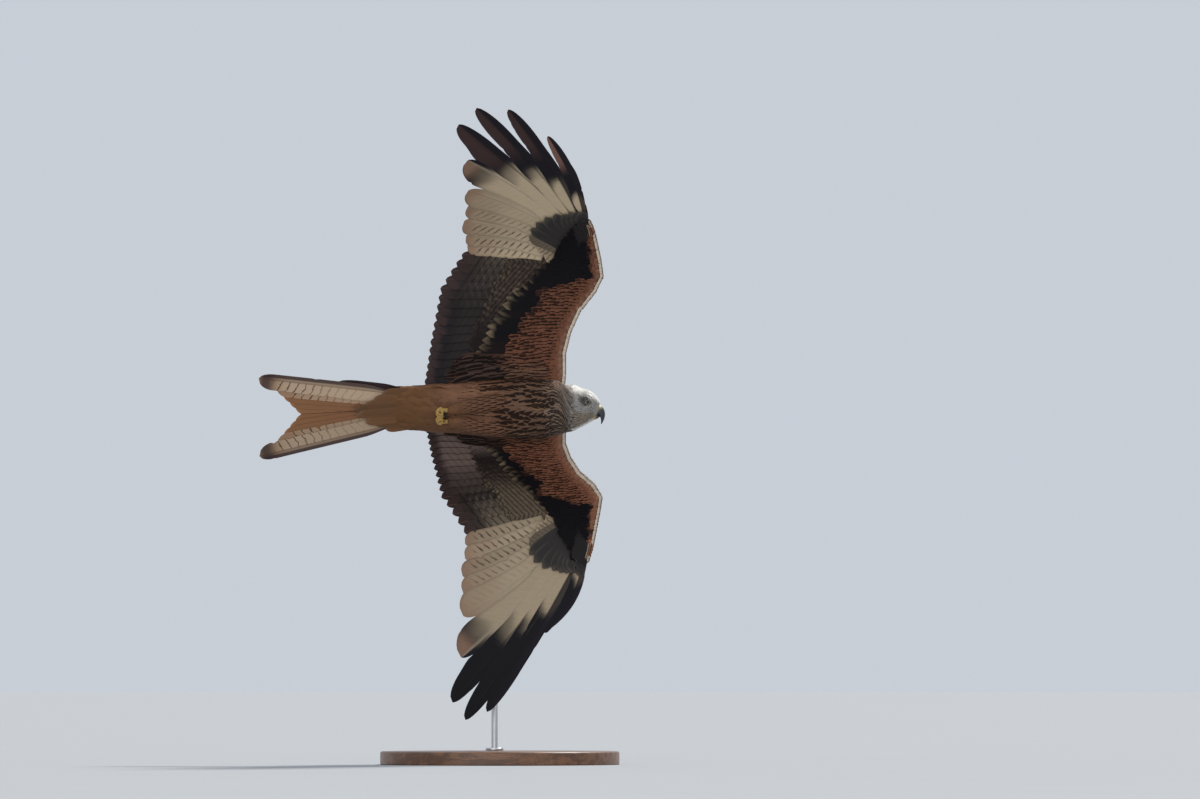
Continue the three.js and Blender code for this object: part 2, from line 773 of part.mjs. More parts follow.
// A point at u behind a tail feather's root and across it by v, away from the middle
function tailPoint({ side, rootX, rootY, angle }, u, v, height) {
  const x = rootX - u * Math.cos(angle) + v * Math.sin(angle);
  const y = side * (rootY + u * Math.sin(angle) + v * Math.cos(angle));
  return new THREE.Vector3(x, y - (x - tail.rootX) * Math.sin(tail.yaw), height - tail.hollow * y * y);
}

function tailVane(form) {
  const { shaft, length, rows, round, outer, inner, lift, reach, flatInside } = form;
  const { pitch = vane.pitch, spacing = () => 1 } = form;
  const upper = [];
  const lower = [];
  for (const t of rows) {
    const u = length * t;
    const share = vaneWidth(t, round);
    const half = t === 1 ? vane.tipHalf : vane.half;
    const above = [];
    const below = [];
    const inwards = reach ? Math.min(inner * share, reach(u)) : inner * share;
    for (const v of [-inwards, 0, outer * share]) {
      const tilt = (v < 0 && flatInside ? 0 : pitch) * clamp(v / spacing(u), -2.7, 1.7);
      above.push(tailPoint(shaft, u, v, lift(t) + tilt + half));
      below.push(tailPoint(shaft, u, v, lift(t) + tilt - half));
    }
    upper.push(above);
    lower.push(below);
  }
  return sheet(upper, lower);
}

// The two middle feathers lie over each other; the rest stop at the middle line
function innerReach(shaft, place, u) {
  const away = shaft.rootY + u * Math.sin(shaft.angle);
  return place === 0 ? 2 * away + 0.5 : away - 0.4;
}

function rectrix(side, place) {
  const shaft = {
    side,
    rootX: tail.rootX,
    rootY: tail.rootY + tail.rootStep * place,
    angle: degToRad(tail.angle + tail.angleStep * place),
  };
  const fan = Math.sin(degToRad(tail.angleStep));
  const raised = side > 0 && place === 0 ? tail.middleLift : 0;
  return tailVane({
    shaft,
    length: tail.lengths[place],
    rows: tail.rows,
    round: tail.round,
    outer: tail.outer[place],
    inner: tail.inner[place],
    reach: (u) => innerReach(shaft, place, u),
    flatInside: place === 0,
    spacing: (u) => tail.rootStep + u * fan,
    lift: (t) => raised * smoothstep(t, 0, 0.2),
  });
}

function tailCovertVanes({ count, lengths, root, lift }) {
  return Array.from({ length: count }, (_, i) => {
    const place = i - (count - 1) / 2;
    const side = place < 0 ? -1 : 1;
    const away = Math.abs(place);
    const layer = tailCoverts.layer * (count / 2 - away + (place < 0 ? 0.5 : 0));
    const shaft = { side, rootX: tailCoverts.x, rootY: tailCoverts.step * away, angle: degToRad(3 * away) };
    return tailVane({
      shaft,
      length: lengths[away],
      rows: tailCoverts.rows,
      round: 0.7,
      outer: tailCoverts.half,
      inner: tailCoverts.half,
      pitch: 0,
      lift: (t) => lerp(root, lift + Math.sign(lift) * layer, smoothstep(t, 0, 0.4)),
    });
  });
}

function growingVane() {
  const { y, length, angle, half, lift } = growingFeather;
  return tailVane({
    shaft: { side: -1, rootX: tail.rootX, rootY: -y, angle: degToRad(angle) },
    length,
    rows: tail.rows,
    round: 0.8,
    outer: half,
    inner: half,
    pitch: 0,
    lift: (t) => lift * smoothstep(t, 0, 0.3),
  });
}

function tailGeometry() {
  const pieces = [skinOver(tailSections.map((section) => bodyRing({ ...section, sides: tailSides })))];
  for (let place = 0; place < tailFeathers; place += 1) pieces.push(rectrix(1, place), rectrix(-1, place));
  pieces.push(...tailCovertVanes(tailCoverts.under), ...tailCovertVanes(tailCoverts.upper), growingVane());
  return fused(pieces);
}

// Legs and feet

function legGeometry(side) {
  const rings = legSections.map((section) => ring({
    centre: new THREE.Vector3(section.x, side * section.y, section.z),
    side: lateral,
    up: dorsal,
    width: section.width,
    above: section.height,
    below: section.height,
    sides: 12,
  }));
  return fused([skinOver(rings)], [torsoGeometry(gap + 0.1)]);
}

// A toe or claw: a tapering tube round a bend, from its root to its tip
function curl({ start, heading, turn, length, thick, tip, side, spread, steps = 4, sides = 6 }) {
  const rings = [];
  const centre = start.clone();
  let angle = heading;
  for (let i = 0; i <= steps; i += 1) {
    const t = i / steps;
    const forward = new THREE.Vector3(
      Math.cos(angle) * Math.cos(spread),
      side * Math.sin(spread),
      Math.sin(angle) * Math.cos(spread),
    );
    const across = new THREE.Vector3(0, 1, 0);
    const up = new THREE.Vector3().crossVectors(forward, across).normalize();
    const flat = new THREE.Vector3().crossVectors(up, forward).normalize();
    const radius = lerp(thick, tip, t);
    rings.push(ring({ centre, side: flat, up, width: radius, above: radius, below: radius, sides }));
    centre.addScaledVector(forward, length / steps);
    angle += turn / steps;
  }
  return { geometry: skinOver(rings), end: centre.clone(), angle };
}

function footGeometry(side) {
  const start = new THREE.Vector3(foot.x, side * foot.y, foot.z);
  const pieces = [];
  const tarsus = curl({
    start, heading: Math.PI, turn: 0, length: 14, thick: foot.tarsus, tip: foot.tarsus, side, spread: 0, steps: 1,
  });
  pieces.push(tarsus.geometry);
  const knuckle = new THREE.Vector3(foot.x - 14, side * foot.y, foot.z);
  pieces.push(ellipsoid(knuckle, new THREE.Vector3(6.5, 6, 5.5), 8, 6));
  const toes = [
    { spread: -0.38, length: 26 },
    { spread: 0, length: 31 },
    { spread: 0.38, length: 25 },
  ];
  for (const toe of toes) {
    const grown = curl({
      start: knuckle, heading: Math.PI, turn: degToRad(-190), length: toe.length,
      thick: foot.toe, tip: foot.toe * 0.75, side, spread: toe.spread,
    });
    const claw = curl({
      start: grown.end, heading: grown.angle, turn: degToRad(-80), length: 12,
      thick: foot.claw, tip: 0.3, side, spread: toe.spread, steps: 3, sides: 5,
    });
    pieces.push(grown.geometry, claw.geometry);
  }
  return fused(pieces, [torsoGeometry(gap + 0.1)]);
}

// Stand

const birdFrame = new THREE.Matrix4()
  .makeRotationX(-bank)
  .setPosition(0, bodySetBack, bodyHeight);

function baseGeometry() {
  const { radius, height, edge } = base;
  const profile = [
    new THREE.Vector2(0, 0),
    new THREE.Vector2(radius, 0),
    new THREE.Vector2(radius, height - edge),
    new THREE.Vector2(radius - edge, height),
    new THREE.Vector2(0, height),
  ];
  const geometry = new THREE.LatheGeometry(profile, base.sides);
  geometry.rotateX(Math.PI / 2);
  return geometry;
}

// The rod stands behind the lower wing, bends over it and ends in the middle of the back
function rodGeometry() {
  const top = bodyHeight + rod.entryHeight;
  const path = [new THREE.Vector3(rod.riseX, rod.footY, base.height + gap)];
  const turns = 6;
  for (let i = 0; i <= turns; i += 1) {
    const angle = (Math.PI / 2) * (i / turns);
    path.push(new THREE.Vector3(
      rod.riseX,
      rod.footY - rod.bend * (1 - Math.cos(angle)),
      top - rod.bend * (1 - Math.sin(angle)),
    ));
  }
  path.push(new THREE.Vector3(rod.riseX, bodySetBack, top));
  const acrossRod = new THREE.Vector3(1, 0, 0);
  const rings = path.map((point, i) => {
    const before = path[Math.max(i - 1, 0)];
    const after = path[Math.min(i + 1, path.length - 1)];
    const forward = after.clone().sub(before).normalize();
    const up = new THREE.Vector3().crossVectors(acrossRod, forward);
    return ring({
      centre: point, side: acrossRod, up, width: rod.radius, above: rod.radius, below: rod.radius,
      sides: rod.sides,
    });
  });
  const inBirdFrame = skinOver(rings).applyMatrix4(birdFrame.clone().invert());
  return fused([inBirdFrame], [torsoGeometry(gap + 0.1)]);
}

// Assembly

function part(name, geometry, material) {
  const mesh = new THREE.Mesh(geometry, material);
  mesh.name = name;
  return mesh;
}

const bird = new THREE.Group();
bird.applyMatrix4(birdFrame);
bird.add(part('torso', torsoGeometry(), finishes.rufous()));
bird.add(part('neck', neckGeometry(), finishes.rufous()));
bird.add(part('tail', tailGeometry(), finishes.tailVane()));

const head = new THREE.Group();
head.applyMatrix4(headFrame);
head.add(part('head', headGeometry(), finishes.paleHead()));
head.add(part('bill_upper', billGeometry(), finishes.horn()));
head.add(part('bill_lower', mandibleGeometry(), finishes.horn()));
head.add(part('eye_left', eyeball(1), finishes.iris()));
head.add(part('eye_right', eyeball(-1), finishes.iris()));
bird.add(head);

for (const [name, wing] of Object.entries(wingSides)) {
  bird.add(part(`${name}_wing_arm`, armGeometry(wing), finishes.darkVane()));
  bird.add(part(`${name}_wing_hand`, handGeometry(wing), finishes.darkVane()));
  bird.add(part(`${name}_leg`, legGeometry(wing.side), finishes.rufous()));
  bird.add(part(`${name}_foot`, footGeometry(wing.side), finishes.scale()));
}
bird.add(part('stand_rod', rodGeometry(), finishes.steel()));

const kite = new THREE.Group();
kite.add(bird);
kite.add(part('stand_base', baseGeometry(), finishes.wood()));

export default kite;
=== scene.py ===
import math

import bmesh
import bpy
import numpy as np
from mathutils import Matrix, Vector
from mathutils.kdtree import KDTree


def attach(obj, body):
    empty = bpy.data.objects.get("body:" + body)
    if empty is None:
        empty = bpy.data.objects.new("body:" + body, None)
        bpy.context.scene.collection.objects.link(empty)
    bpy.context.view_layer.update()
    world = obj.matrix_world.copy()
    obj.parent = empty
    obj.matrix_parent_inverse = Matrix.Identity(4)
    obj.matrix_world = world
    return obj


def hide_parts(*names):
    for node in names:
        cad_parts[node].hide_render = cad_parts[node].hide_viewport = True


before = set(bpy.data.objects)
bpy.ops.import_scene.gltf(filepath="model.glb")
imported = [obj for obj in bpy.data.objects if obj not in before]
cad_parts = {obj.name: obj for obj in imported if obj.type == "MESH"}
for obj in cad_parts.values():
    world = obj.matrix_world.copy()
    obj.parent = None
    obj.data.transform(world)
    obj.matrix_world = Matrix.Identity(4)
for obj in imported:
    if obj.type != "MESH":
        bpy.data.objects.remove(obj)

# Red kite in a banked glide on a display stand, seen from below.
# Lengths are millimetres in the bird's own frame (x towards the bill, y to its left,
# z towards its back) until toWorld turns them to metres in the shared frame.

scene = bpy.context.scene
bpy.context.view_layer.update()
draw = np.random.default_rng(61)

# degrees; middle of the torso above the floor and along Y
placing = {"bank": 69.0, "height": 670.0, "setBack": -30.0}


def toWorld(points):
    turn = math.radians(placing["bank"])
    x, y, z = points[..., 0], points[..., 1], points[..., 2]
    worldY = y * math.cos(turn) + z * math.sin(turn) + placing["setBack"]
    worldZ = z * math.cos(turn) - y * math.sin(turn) + placing["height"]
    return np.stack([x, worldY, worldZ], axis=-1) / 1000


# Camera and light

cameraSet = {
    "distance": 15.0,
    "lookUp": 2.0,          # degrees
    "frameWidth": 2.256,    # metres across the picture at the bird
    "right": 0.188,         # picture's middle from the middle of the torso
    "above": 0.016,
}


def makeCamera():
    up = math.radians(cameraSet["lookUp"])
    middle = Vector((0, placing["setBack"] / 1000, placing["height"] / 1000))
    forward = Vector((0, math.cos(up), math.sin(up)))
    rise = Vector((0, -math.sin(up), math.cos(up)))
    camera = bpy.data.objects.new("camera", bpy.data.cameras.new("camera"))
    camera.data.sensor_width = 36
    camera.data.lens = 36 * cameraSet["distance"] / cameraSet["frameWidth"]
    camera.location = middle - forward * cameraSet["distance"]
    aim = middle + Vector((cameraSet["right"], 0, 0)) + rise * cameraSet["above"]
    camera.rotation_mode = "QUATERNION"
    camera.rotation_quaternion = (aim - camera.location).to_track_quat("-Z", "Y")
    camera.data.clip_start, camera.data.clip_end = 0.1, 200
    scene.collection.objects.link(camera)
    scene.camera = camera


lightSet = {
    # where each soft light stands from the bird, its width in degrees, strength and colour
    "front": {"from": (-1.1, -3.0, 0.9), "width": 50, "strength": 0.8, "colour": (1.0, 0.985, 0.96)},
    "low": {"from": (1.4, -2.8, 0.1), "width": 60, "strength": 0.34, "colour": (0.95, 0.97, 1.0)},
    "rimHighlight": {"from": (1.3, 1.5, 2.8), "width": 12, "strength": 3.2, "colour": (1.0, 0.97, 0.92)},
    "sky": (0.80, 0.86, 0.94),
    "skyStrength": 0.72,
}


def makeLights():
    for name in ("front", "low", "rimHighlight"):
        values = lightSet[name]
        light = bpy.data.lights.new(name, "SUN")
        light.angle = math.radians(values["width"])
        light.energy = values["strength"]
        light.color = values["colour"]
        lamp = bpy.data.objects.new(name, light)
        lamp.location = values["from"]
        lamp.rotation_mode = "QUATERNION"
        lamp.rotation_quaternion = (-Vector(values["from"])).to_track_quat("-Z", "Y")
        scene.collection.objects.link(lamp)
    world = bpy.data.worlds.new("studio")
    world.use_nodes = True
    sky = world.node_tree.nodes["Background"]
    sky.inputs["Color"].default_value = (*lightSet["sky"], 1)
    sky.inputs["Strength"].default_value = lightSet["skyStrength"]
    scene.world = world
    scene.view_settings.view_transform = "Standard"


# Node helpers

class Nodes:
    # a short way to set up a material's node tree
    def __init__(self, name):
        self.material = bpy.data.materials.new(name)
        self.material.use_nodes = True
        self.tree = self.material.node_tree
        self.shader = self.tree.nodes["Principled BSDF"]

    def add(self, kind, settings=None, **links):
        node = self.tree.nodes.new(kind)
        for key, value in (settings or {}).items():
            setattr(node, key, value)
        for key, value in links.items():
            self.put(node, key, value)
        return node

    def put(self, node, key, value):
        socket = node.inputs[int(key[1:])] if key[0] == "i" and key[1:].isdigit() else node.inputs[key]
        if isinstance(value, bpy.types.NodeSocket):
            self.tree.links.new(value, socket)
        else:
            socket.default_value = value

    def math(self, operation, a, b=0.0, c=0.0):
        return self.add("ShaderNodeMath", {"operation": operation}, i0=a, i1=b, i2=c).outputs[0]

    def vector(self, operation, a, b):
        return self.add("ShaderNodeVectorMath", {"operation": operation}, i0=a, i1=b).outputs[0]

    def dot(self, a, b):
        return self.add("ShaderNodeVectorMath", {"operation": "DOT_PRODUCT"}, i0=a, i1=b).outputs["Value"]

    def mix(self, amount, a, b, blend="MIX"):
        node = self.add("ShaderNodeMix", {"data_type": "RGBA", "blend_type": blend})
        self.put(node, "i0", amount)
        self.put(node, "i6", a)
        self.put(node, "i7", b)
        return node.outputs[2]

    def noise(self, vector, scale, detail=3.0, roughness=0.55):
        node = self.add("ShaderNodeTexNoise", Vector=vector, Scale=scale, Detail=detail, Roughness=roughness)
        return node.outputs["Fac"]

    def ramp(self, value, stops):
        node = self.add("ShaderNodeValToRGB", Fac=value)
        elements = node.color_ramp.elements
        while len(elements) < len(stops):
            elements.new(0.5)
        for element, (place, colour) in zip(elements, stops):
            element.position = place
            element.color = (*tone(colour), 1)
        return node.outputs["Color"]

    def span(self, value, low, high, fromZero=0.0, toOne=1.0):
        node = self.add("ShaderNodeMapRange", {"clamp": True}, Value=value)
        for key, number in zip(("From Min", "From Max", "To Min", "To Max"), (low, high, fromZero, toOne)):
            node.inputs[key].default_value = number
        return node.outputs["Result"]

    def bump(self, height, distance, strength=1.0):
        node = self.add("ShaderNodeBump", Height=height, Distance=distance, Strength=strength)
        self.put(self.shader, "Normal", node.outputs["Normal"])

    def finish(self, **values):
        for key, value in values.items():
            self.put(self.shader, key.replace("_", " "), value)
        return self.material

    def place(self):
        return self.add("ShaderNodeTexCoord").outputs["Object"]

    def attribute(self, name, output="Vector"):
        return self.add("ShaderNodeAttribute", {"attribute_name": name}).outputs[output]


def tone(text):
    # a colour written as six hex digits, as linear light
    values = np.array([int(text[i:i + 2], 16) for i in (0, 2, 4)]) / 255
    return np.where(values <= 0.04045, values / 12.92, ((values + 0.055) / 1.055) ** 2.4)


def blend(a, b, amount):
    # from one tone to another, each a name in tones or an array of colours
    a, b = (tones[part] if isinstance(part, str) else part for part in (a, b))
    amount = np.asarray(amount)[..., None]
    return a * (1 - amount) + b * amount


def ease(value, low, high):
    x = np.clip((np.asarray(value, float) - low) / (high - low), 0, 1)
    return x * x * (3 - 2 * x)


def ripple(x, y, seed=0.0):
    # smooth wandering value, about -1 to 1
    return (np.sin(x + 1.7 * np.sin(y * 0.73 + seed) + seed)
            + np.sin(y * 1.31 + 1.3 * np.sin(x * 0.61 - seed) + 2.1 * seed)) / 2


plumageSet = {
    "roughness": 0.7, "specular": 0.1,
    "barb": 1100.0,         # how fine the barbs are, along the vane and across it, per metre
    "barbLong": 70.0,
    "barbSlant": 0.9,
    "barbTone": 0.20,
    "relief": 0.00016,
    "wander": 160.0,        # how fine the marks' edges waver, per metre
    "mark": (0.1, 0.08, 0.08, 1),       # what a dark mark leaves of the colour
}


def makePlumage(name, gloss=0.0):
    # colour comes from the mesh; dark bars and the run of the barbs are drawn along each vane
    n = Nodes(name)
    colour = n.attribute("colour", "Color")
    bars = n.add("ShaderNodeSeparateXYZ", Vector=n.attribute("bars"))
    vein = n.add("ShaderNodeSeparateXYZ", Vector=n.attribute("vein"))
    along, across, chance = vein.outputs[0], vein.outputs[1], vein.outputs[2]
    side = n.math("ABSOLUTE", across)
    barb = n.math("SUBTRACT", along, n.math("MULTIPLY", side, plumageSet["barbSlant"]))
    barbPlace = n.add(
        "ShaderNodeCombineXYZ",
        X=n.math("MULTIPLY", barb, plumageSet["barb"]),
        Y=n.math("MULTIPLY", across, plumageSet["barbLong"]),
        Z=chance,
    ).outputs[0]
    strands = n.noise(barbPlace, 1.0, 2.0, 0.6)
    wander = n.add(
        "ShaderNodeCombineXYZ",
        X=n.math("MULTIPLY", along, plumageSet["wander"]),
        Y=n.math("MULTIPLY", across, plumageSet["wander"]),
        Z=chance,
    ).outputs[0]
    wobble = n.math("MULTIPLY_ADD", n.noise(wander, 1.0, 2.0), 0.5, -0.25)
    vane = n.add("ShaderNodeSeparateXYZ", Vector=n.add("ShaderNodeUVMap", {"uv_map": "vane"}).outputs[0])
    away = n.math("ADD", n.math("ABSOLUTE", vane.outputs[1]), n.math("MULTIPLY", wobble, 0.5))
    inStreak = n.span(n.math("SUBTRACT", bars.outputs[2], away), -0.06, 0.08)
    inStreak = n.math("MULTIPLY", inStreak, n.span(bars.outputs[2], 0.02, 0.1))
    wave = n.math("SINE", n.math("MULTIPLY", n.math("ADD", bars.outputs[1], wobble), 2 * math.pi))
    # a third mark below zero makes the bars thin
    wave = n.math("ADD", wave, n.math("MINIMUM", bars.outputs[2], 0.0))
    mask = n.math("MULTIPLY", n.span(wave, 0.42, 0.8), bars.outputs[0])
    mask = n.math("MINIMUM", n.math("MAXIMUM", mask, n.math("MULTIPLY", inStreak, 0.96)), 1.0)
    barred = n.mix(mask, colour, n.mix(1.0, colour, plumageSet["mark"], "MULTIPLY"))
    light = n.math("MULTIPLY_ADD", strands, plumageSet["barbTone"] * 2, 1 - plumageSet["barbTone"])
    shade = n.add("ShaderNodeCombineColor", Red=light, Green=light, Blue=light).outputs[0]
    n.bump(strands, plumageSet["relief"], 0.9)
    return n.finish(
        Base_Color=n.mix(1.0, barred, shade, "MULTIPLY"),
        Roughness=plumageSet["roughness"] - 0.2 * gloss,
        Specular_IOR_Level=plumageSet["specular"] + 0.12 * gloss,
    )


# Blades: thin closed vanes built as grids, many to a mesh

def placePiece(mesh, name, material, nodes):
    mesh.materials.append(material)
    piece = bpy.data.objects.new(name, mesh)
    scene.collection.objects.link(piece)
    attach(piece, "root")
    if nodes:
        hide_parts(*nodes)
    print(f"{name}: {len(mesh.polygons)} faces")
    return piece


def newStack():
    return {"verts": [], "quads": [], "shaded": [], "colour": [], "bars": [], "vein": [], "vane": [],
            "bake": [], "points": 0, "shades": 0}


def bladeGrid(rows, columns):
    # quads of the top and the under face, whose rims share their points
    grid = np.arange(rows * columns).reshape(rows, columns)
    inside = np.arange((rows - 2) * (columns - 2)).reshape(rows - 2, columns - 2) + rows * columns
    below = grid.copy()
    below[1:-1, 1:-1] = inside
    corners = [(slice(0, -1), slice(0, -1)), (slice(0, -1), slice(1, None)),
               (slice(1, None), slice(1, None)), (slice(1, None), slice(0, -1))]
    top, under = (np.stack([g[a, b] for a, b in corners], axis=-1).reshape(-1, 4) for g in (grid, below))
    return top, under[:, ::-1]


def addBlades(stack, centre, normal, half, tints, marks, u, v, chance, t, k, bake):
    # centre and normal (n, rows, columns, 3); half, u, v, t and k (n, rows, columns); bake (n, 2, rows,
    # columns, 2); tints and marks hold the upper face's values and then the lower face's
    n, rows, columns = centre.shape[:3]
    half = np.broadcast_to(half, (n, rows, columns))[..., None]
    topQuads, underQuads = bladeGrid(rows, columns)
    r, c = rows // 2, columns // 2
    run = centre[:, r, c] - centre[:, r - 1, c]
    across = centre[:, r, c] - centre[:, r, c - 1]
    turn = ((np.cross(across, run) * normal[:, r, c]).sum(-1) < 0)[:, None, None]
    above = toWorld(centre + normal * half).reshape(n, -1, 3)
    below = toWorld(centre - normal * half)[:, 1:-1, 1:-1].reshape(n, -1, 3)
    stack["verts"].append(np.concatenate([above, below], axis=1).reshape(-1, 3))
    blade = np.arange(n)[:, None, None]
    size = above.shape[1] + below.shape[1]
    vein = np.stack([u / 1000, v / 1000, chance + 0 * u], axis=-1)
    vane = np.stack([t, k], axis=-1)
    for face, quads, shades in ((0, topQuads, topQuads), (1, underQuads, topQuads[:, ::-1])):
        for key, corners, first in (("quads", quads, stack["points"] + blade * size),
                                    ("shaded", shades, stack["shades"] + blade * rows * columns)):
            corners = np.where(turn, corners[None, :, ::-1], corners[None]) + first
            stack[key].append(corners.reshape(-1, 4))
        for key, values in (("colour", tints[face]), ("bars", marks[face]), ("vein", vein), ("vane", vane),
                            ("bake", bake[:, face])):
            width = values.shape[-1]
            stack[key].append(np.broadcast_to(values, (n, rows, columns, width)).reshape(-1, width))
        stack["shades"] += n * rows * columns
    stack["points"] += n * size


def addBlade(stack, centre, normal, half, tints, marks, u, v, chance, t, k, bake):
    # one large feather, its arrays given without the first axis
    addBlades(stack, centre[None], normal[None], half[None], [tint[None] for tint in tints],
              [mark[None] for mark in marks], u[None], v[None], chance, t[None], k[None], bake)


def finishStack(stack, name, material, nodes=()):
    verts = np.concatenate(stack["verts"])
    quads = np.concatenate(stack["quads"]).astype(np.int32)
    shaded = np.concatenate(stack["shaded"]).ravel()
    mesh = bpy.data.meshes.new(name)
    mesh.vertices.add(len(verts))
    mesh.vertices.foreach_set("co", verts.ravel())
    mesh.loops.add(quads.size)
    mesh.loops.foreach_set("vertex_index", quads.ravel())
    mesh.polygons.add(len(quads))
    mesh.polygons.foreach_set("loop_start", np.arange(0, quads.size, 4, dtype=np.int32))
    mesh.update(calc_edges=True)
    colour = np.concatenate(stack["colour"])[shaded]
    colour = np.concatenate([np.clip(colour, 0, 1), np.ones((len(colour), 1))], axis=1)
    mesh.attributes.new("colour", "FLOAT_COLOR", "CORNER").data.foreach_set("color", colour.ravel())
    for key in ("bars", "vein"):
        values = np.concatenate(stack[key])[shaded]
        mesh.attributes.new(key, "FLOAT_VECTOR", "CORNER").data.foreach_set("vector", values.ravel())
    mesh.uv_layers.new(name="OFBake").data.foreach_set("uv", np.concatenate(stack["bake"])[shaded].ravel())
    mesh.uv_layers.new(name="vane").data.foreach_set("uv", np.concatenate(stack["vane"])[shaded].ravel())
    mesh.shade_smooth()
    mesh.set_sharp_from_angle(angle=math.radians(70))
    placePiece(mesh, name, material, nodes)


def each(values):
    # one value for each feather, ready to be spread over its rows and columns
    return values[:, None, None]


def tuftGrid(t, share, length, half):
    # many small feathers at once: the way along and across each, and both as shares
    k = np.linspace(-1, 1, 5)
    u = t[:, None] * each(length) + 0 * k
    v = share[:, None] * k * each(half)
    return u, v, t[:, None] + 0 * u, k + 0 * u


def laidGrid(rows, columns, roundFrom, root, length, half):
    # the same for one feather at a time
    t, k = np.linspace(0, 1, rows)[:, None], np.linspace(-1, 1, columns)
    v = closedVaneShare(t, roundFrom, root) * k * half
    return t * length + 0 * v, v, t + 0 * v, k + 0 * v


def quillGrid(rows):
    # shares along and across a flight feather: rows close up towards the tip, three columns make the shaft
    t = 1 - (1 - np.linspace(0, 1, rows)) ** 1.12
    return t, np.concatenate([np.linspace(-1, -0.12, 6), [-0.04, 0, 0.08], np.linspace(0.25, 1, 4)])


def quillWidths(k, inner, outer, shaft):
    v = np.where(k < 0, k * inner[:, None], k * outer[:, None])
    v[:, 6], v[:, 8] = -shaft, shaft
    return v


def tuftPatch(unwrapU, unwrapV, rows, columns):
    # a patch 0.003 across at the root's place on the unwrap, for both faces
    t = 0.003 * np.linspace(-0.5, 0.5, rows)[:, None]
    k = 0.003 * np.linspace(-0.5, 0.5, columns)[None, :]
    u = 0.004 + 0.992 * each(np.clip(unwrapU, 0, 1)) + t + 0 * k
    v = 0.004 + 0.992 * each(np.clip(unwrapV, 0, 1)) + k + 0 * t
    pair = np.stack([u, v], axis=-1)
    return np.stack([pair, pair], axis=1)


def cellPatch(index, count, rows, columns):
    # one cell of the unwrap for each face of each large feather
    across = math.ceil(math.sqrt(2 * count / 4)) * 4 if count > 40 else 2 * count
    down = math.ceil(2 * count / across)
    t = np.linspace(0.04, 0.96, rows)[:, None] + np.zeros((1, columns))
    k = np.linspace(0.12, 0.88, columns)[None, :] + np.zeros((rows, 1))
    faces = []
    for face in (0, 1):
        cell = 2 * index + face
        u = (cell % across + k) / across
        v = (cell // across + t) / down
        faces.append(np.stack([u, v], axis=-1))
    return np.stack(faces)[None]


# The wing, laid out flat (x forward, s outwards) and then bent along its arch

wingSet = {
    "shoulder": (28.0, 25.0), "innerTurn": 28.0, "outerTurn": -27.0, "bend": (150.0, 330.0),
    "tipLift": 12.0, "lift": (450.0, 640.0), "camber": 0.00035, "pitch": 1.0,
    "armRoot": (0.5, 20.0, 7.5, 13.85), "handRoot": (128.0, 250.0, 3.5, 8.5),
    "armPlaces": (0, 6, 12, 16), "armLengths": (146, 177, 203, 194),
    "armBow": 0.03, "shoulderAngle": -8.0,
    # along s: front edge, back edge and half thickness of the flesh
    "fleshS": (-14, 30, 70, 110, 150, 185, 215, 245, 285, 318, 338),
    "fleshFront": (120, 124, 124, 134, 152, 180, 195, 191, 183, 176, 169),
    "fleshBack": (-62, -30, 2, 24, 50, 68, 85, 100, 120, 135, 148),
    "fleshThick": (17, 14, 12, 11, 10, 9.5, 9, 8, 6.5, 5, 3),
}
wingSides = {
    "left": {
        "side": 1, "wristAngle": 13.0,
        "angles": (17, 22, 27, 32, 38, 47, 52, 56.5, 59.5, 64),
        "lengths": (203, 213, 231, 245, 268, 320, 387, 394, 355, 170),
        "bows": (0.03, 0.03, 0.03, 0.03, 0.03, 0.03, 0.03, 0.026, 0.02, 0.09),
    },
    "right": {
        "side": -1, "wristAngle": 7.0,
        "angles": (11, 16, 24, 32, 38.5, 49, 54.6, 60.4, 66.7, 74),
        "lengths": (193, 203, 221, 233, 256, 312, 388, 396, 355, 257),
        "bows": (0.03, 0.03, 0.03, 0.03, 0.03, 0.03, 0.032, 0.034, 0.036, 0.045),
    },
}
armCount, handCount = 17, 10


def archTurn(s):
    droop = ease(s, *wingSet["bend"])
    turn = wingSet["innerTurn"] * (1 - droop) + wingSet["outerTurn"] * droop
    return np.radians(turn + wingSet["tipLift"] * ease(s, *wingSet["lift"]))


archPlace = np.arange(0, 722, 2.0)
archStepTurn = archTurn(archPlace[:-1] + 1)
archY = wingSet["shoulder"][0] + np.concatenate([[0], np.cumsum(2 * np.cos(archStepTurn))])
archZ = wingSet["shoulder"][1] + np.concatenate([[0], np.cumsum(2 * np.sin(archStepTurn))])


def bent(side, x, s, height):
    turn = archTurn(s)
    y = np.interp(s, archPlace, archY) + np.minimum(s, 0) * np.cos(turn)
    z = np.interp(s, archPlace, archZ) + np.minimum(s, 0) * np.sin(turn)
    return np.stack([x + 0 * y, side * (y - height * np.sin(turn)), z + height * np.cos(turn)], axis=-1)


def wingNormal(side, s):
    turn = archTurn(s)
    return np.stack([0 * turn, -side * np.sin(turn), np.cos(turn)], axis=-1)


def fleshLine(key, s):
    return np.interp(s, wingSet["fleshS"], wingSet[key])


def fleshHeight(x, s):
    front = fleshLine("fleshFront", s)
    back = fleshLine("fleshBack", s)
    thick = fleshLine("fleshThick", s) * ease(345 - s, 0, 12)
    chord = np.clip((x - back) / (front - back), 0, 1)
    taper = 0.55 + 0.45 * ease(chord, 0, 0.6)
    return thick * taper * 2 * np.sqrt(np.clip(chord * (1 - chord), 0, 1))


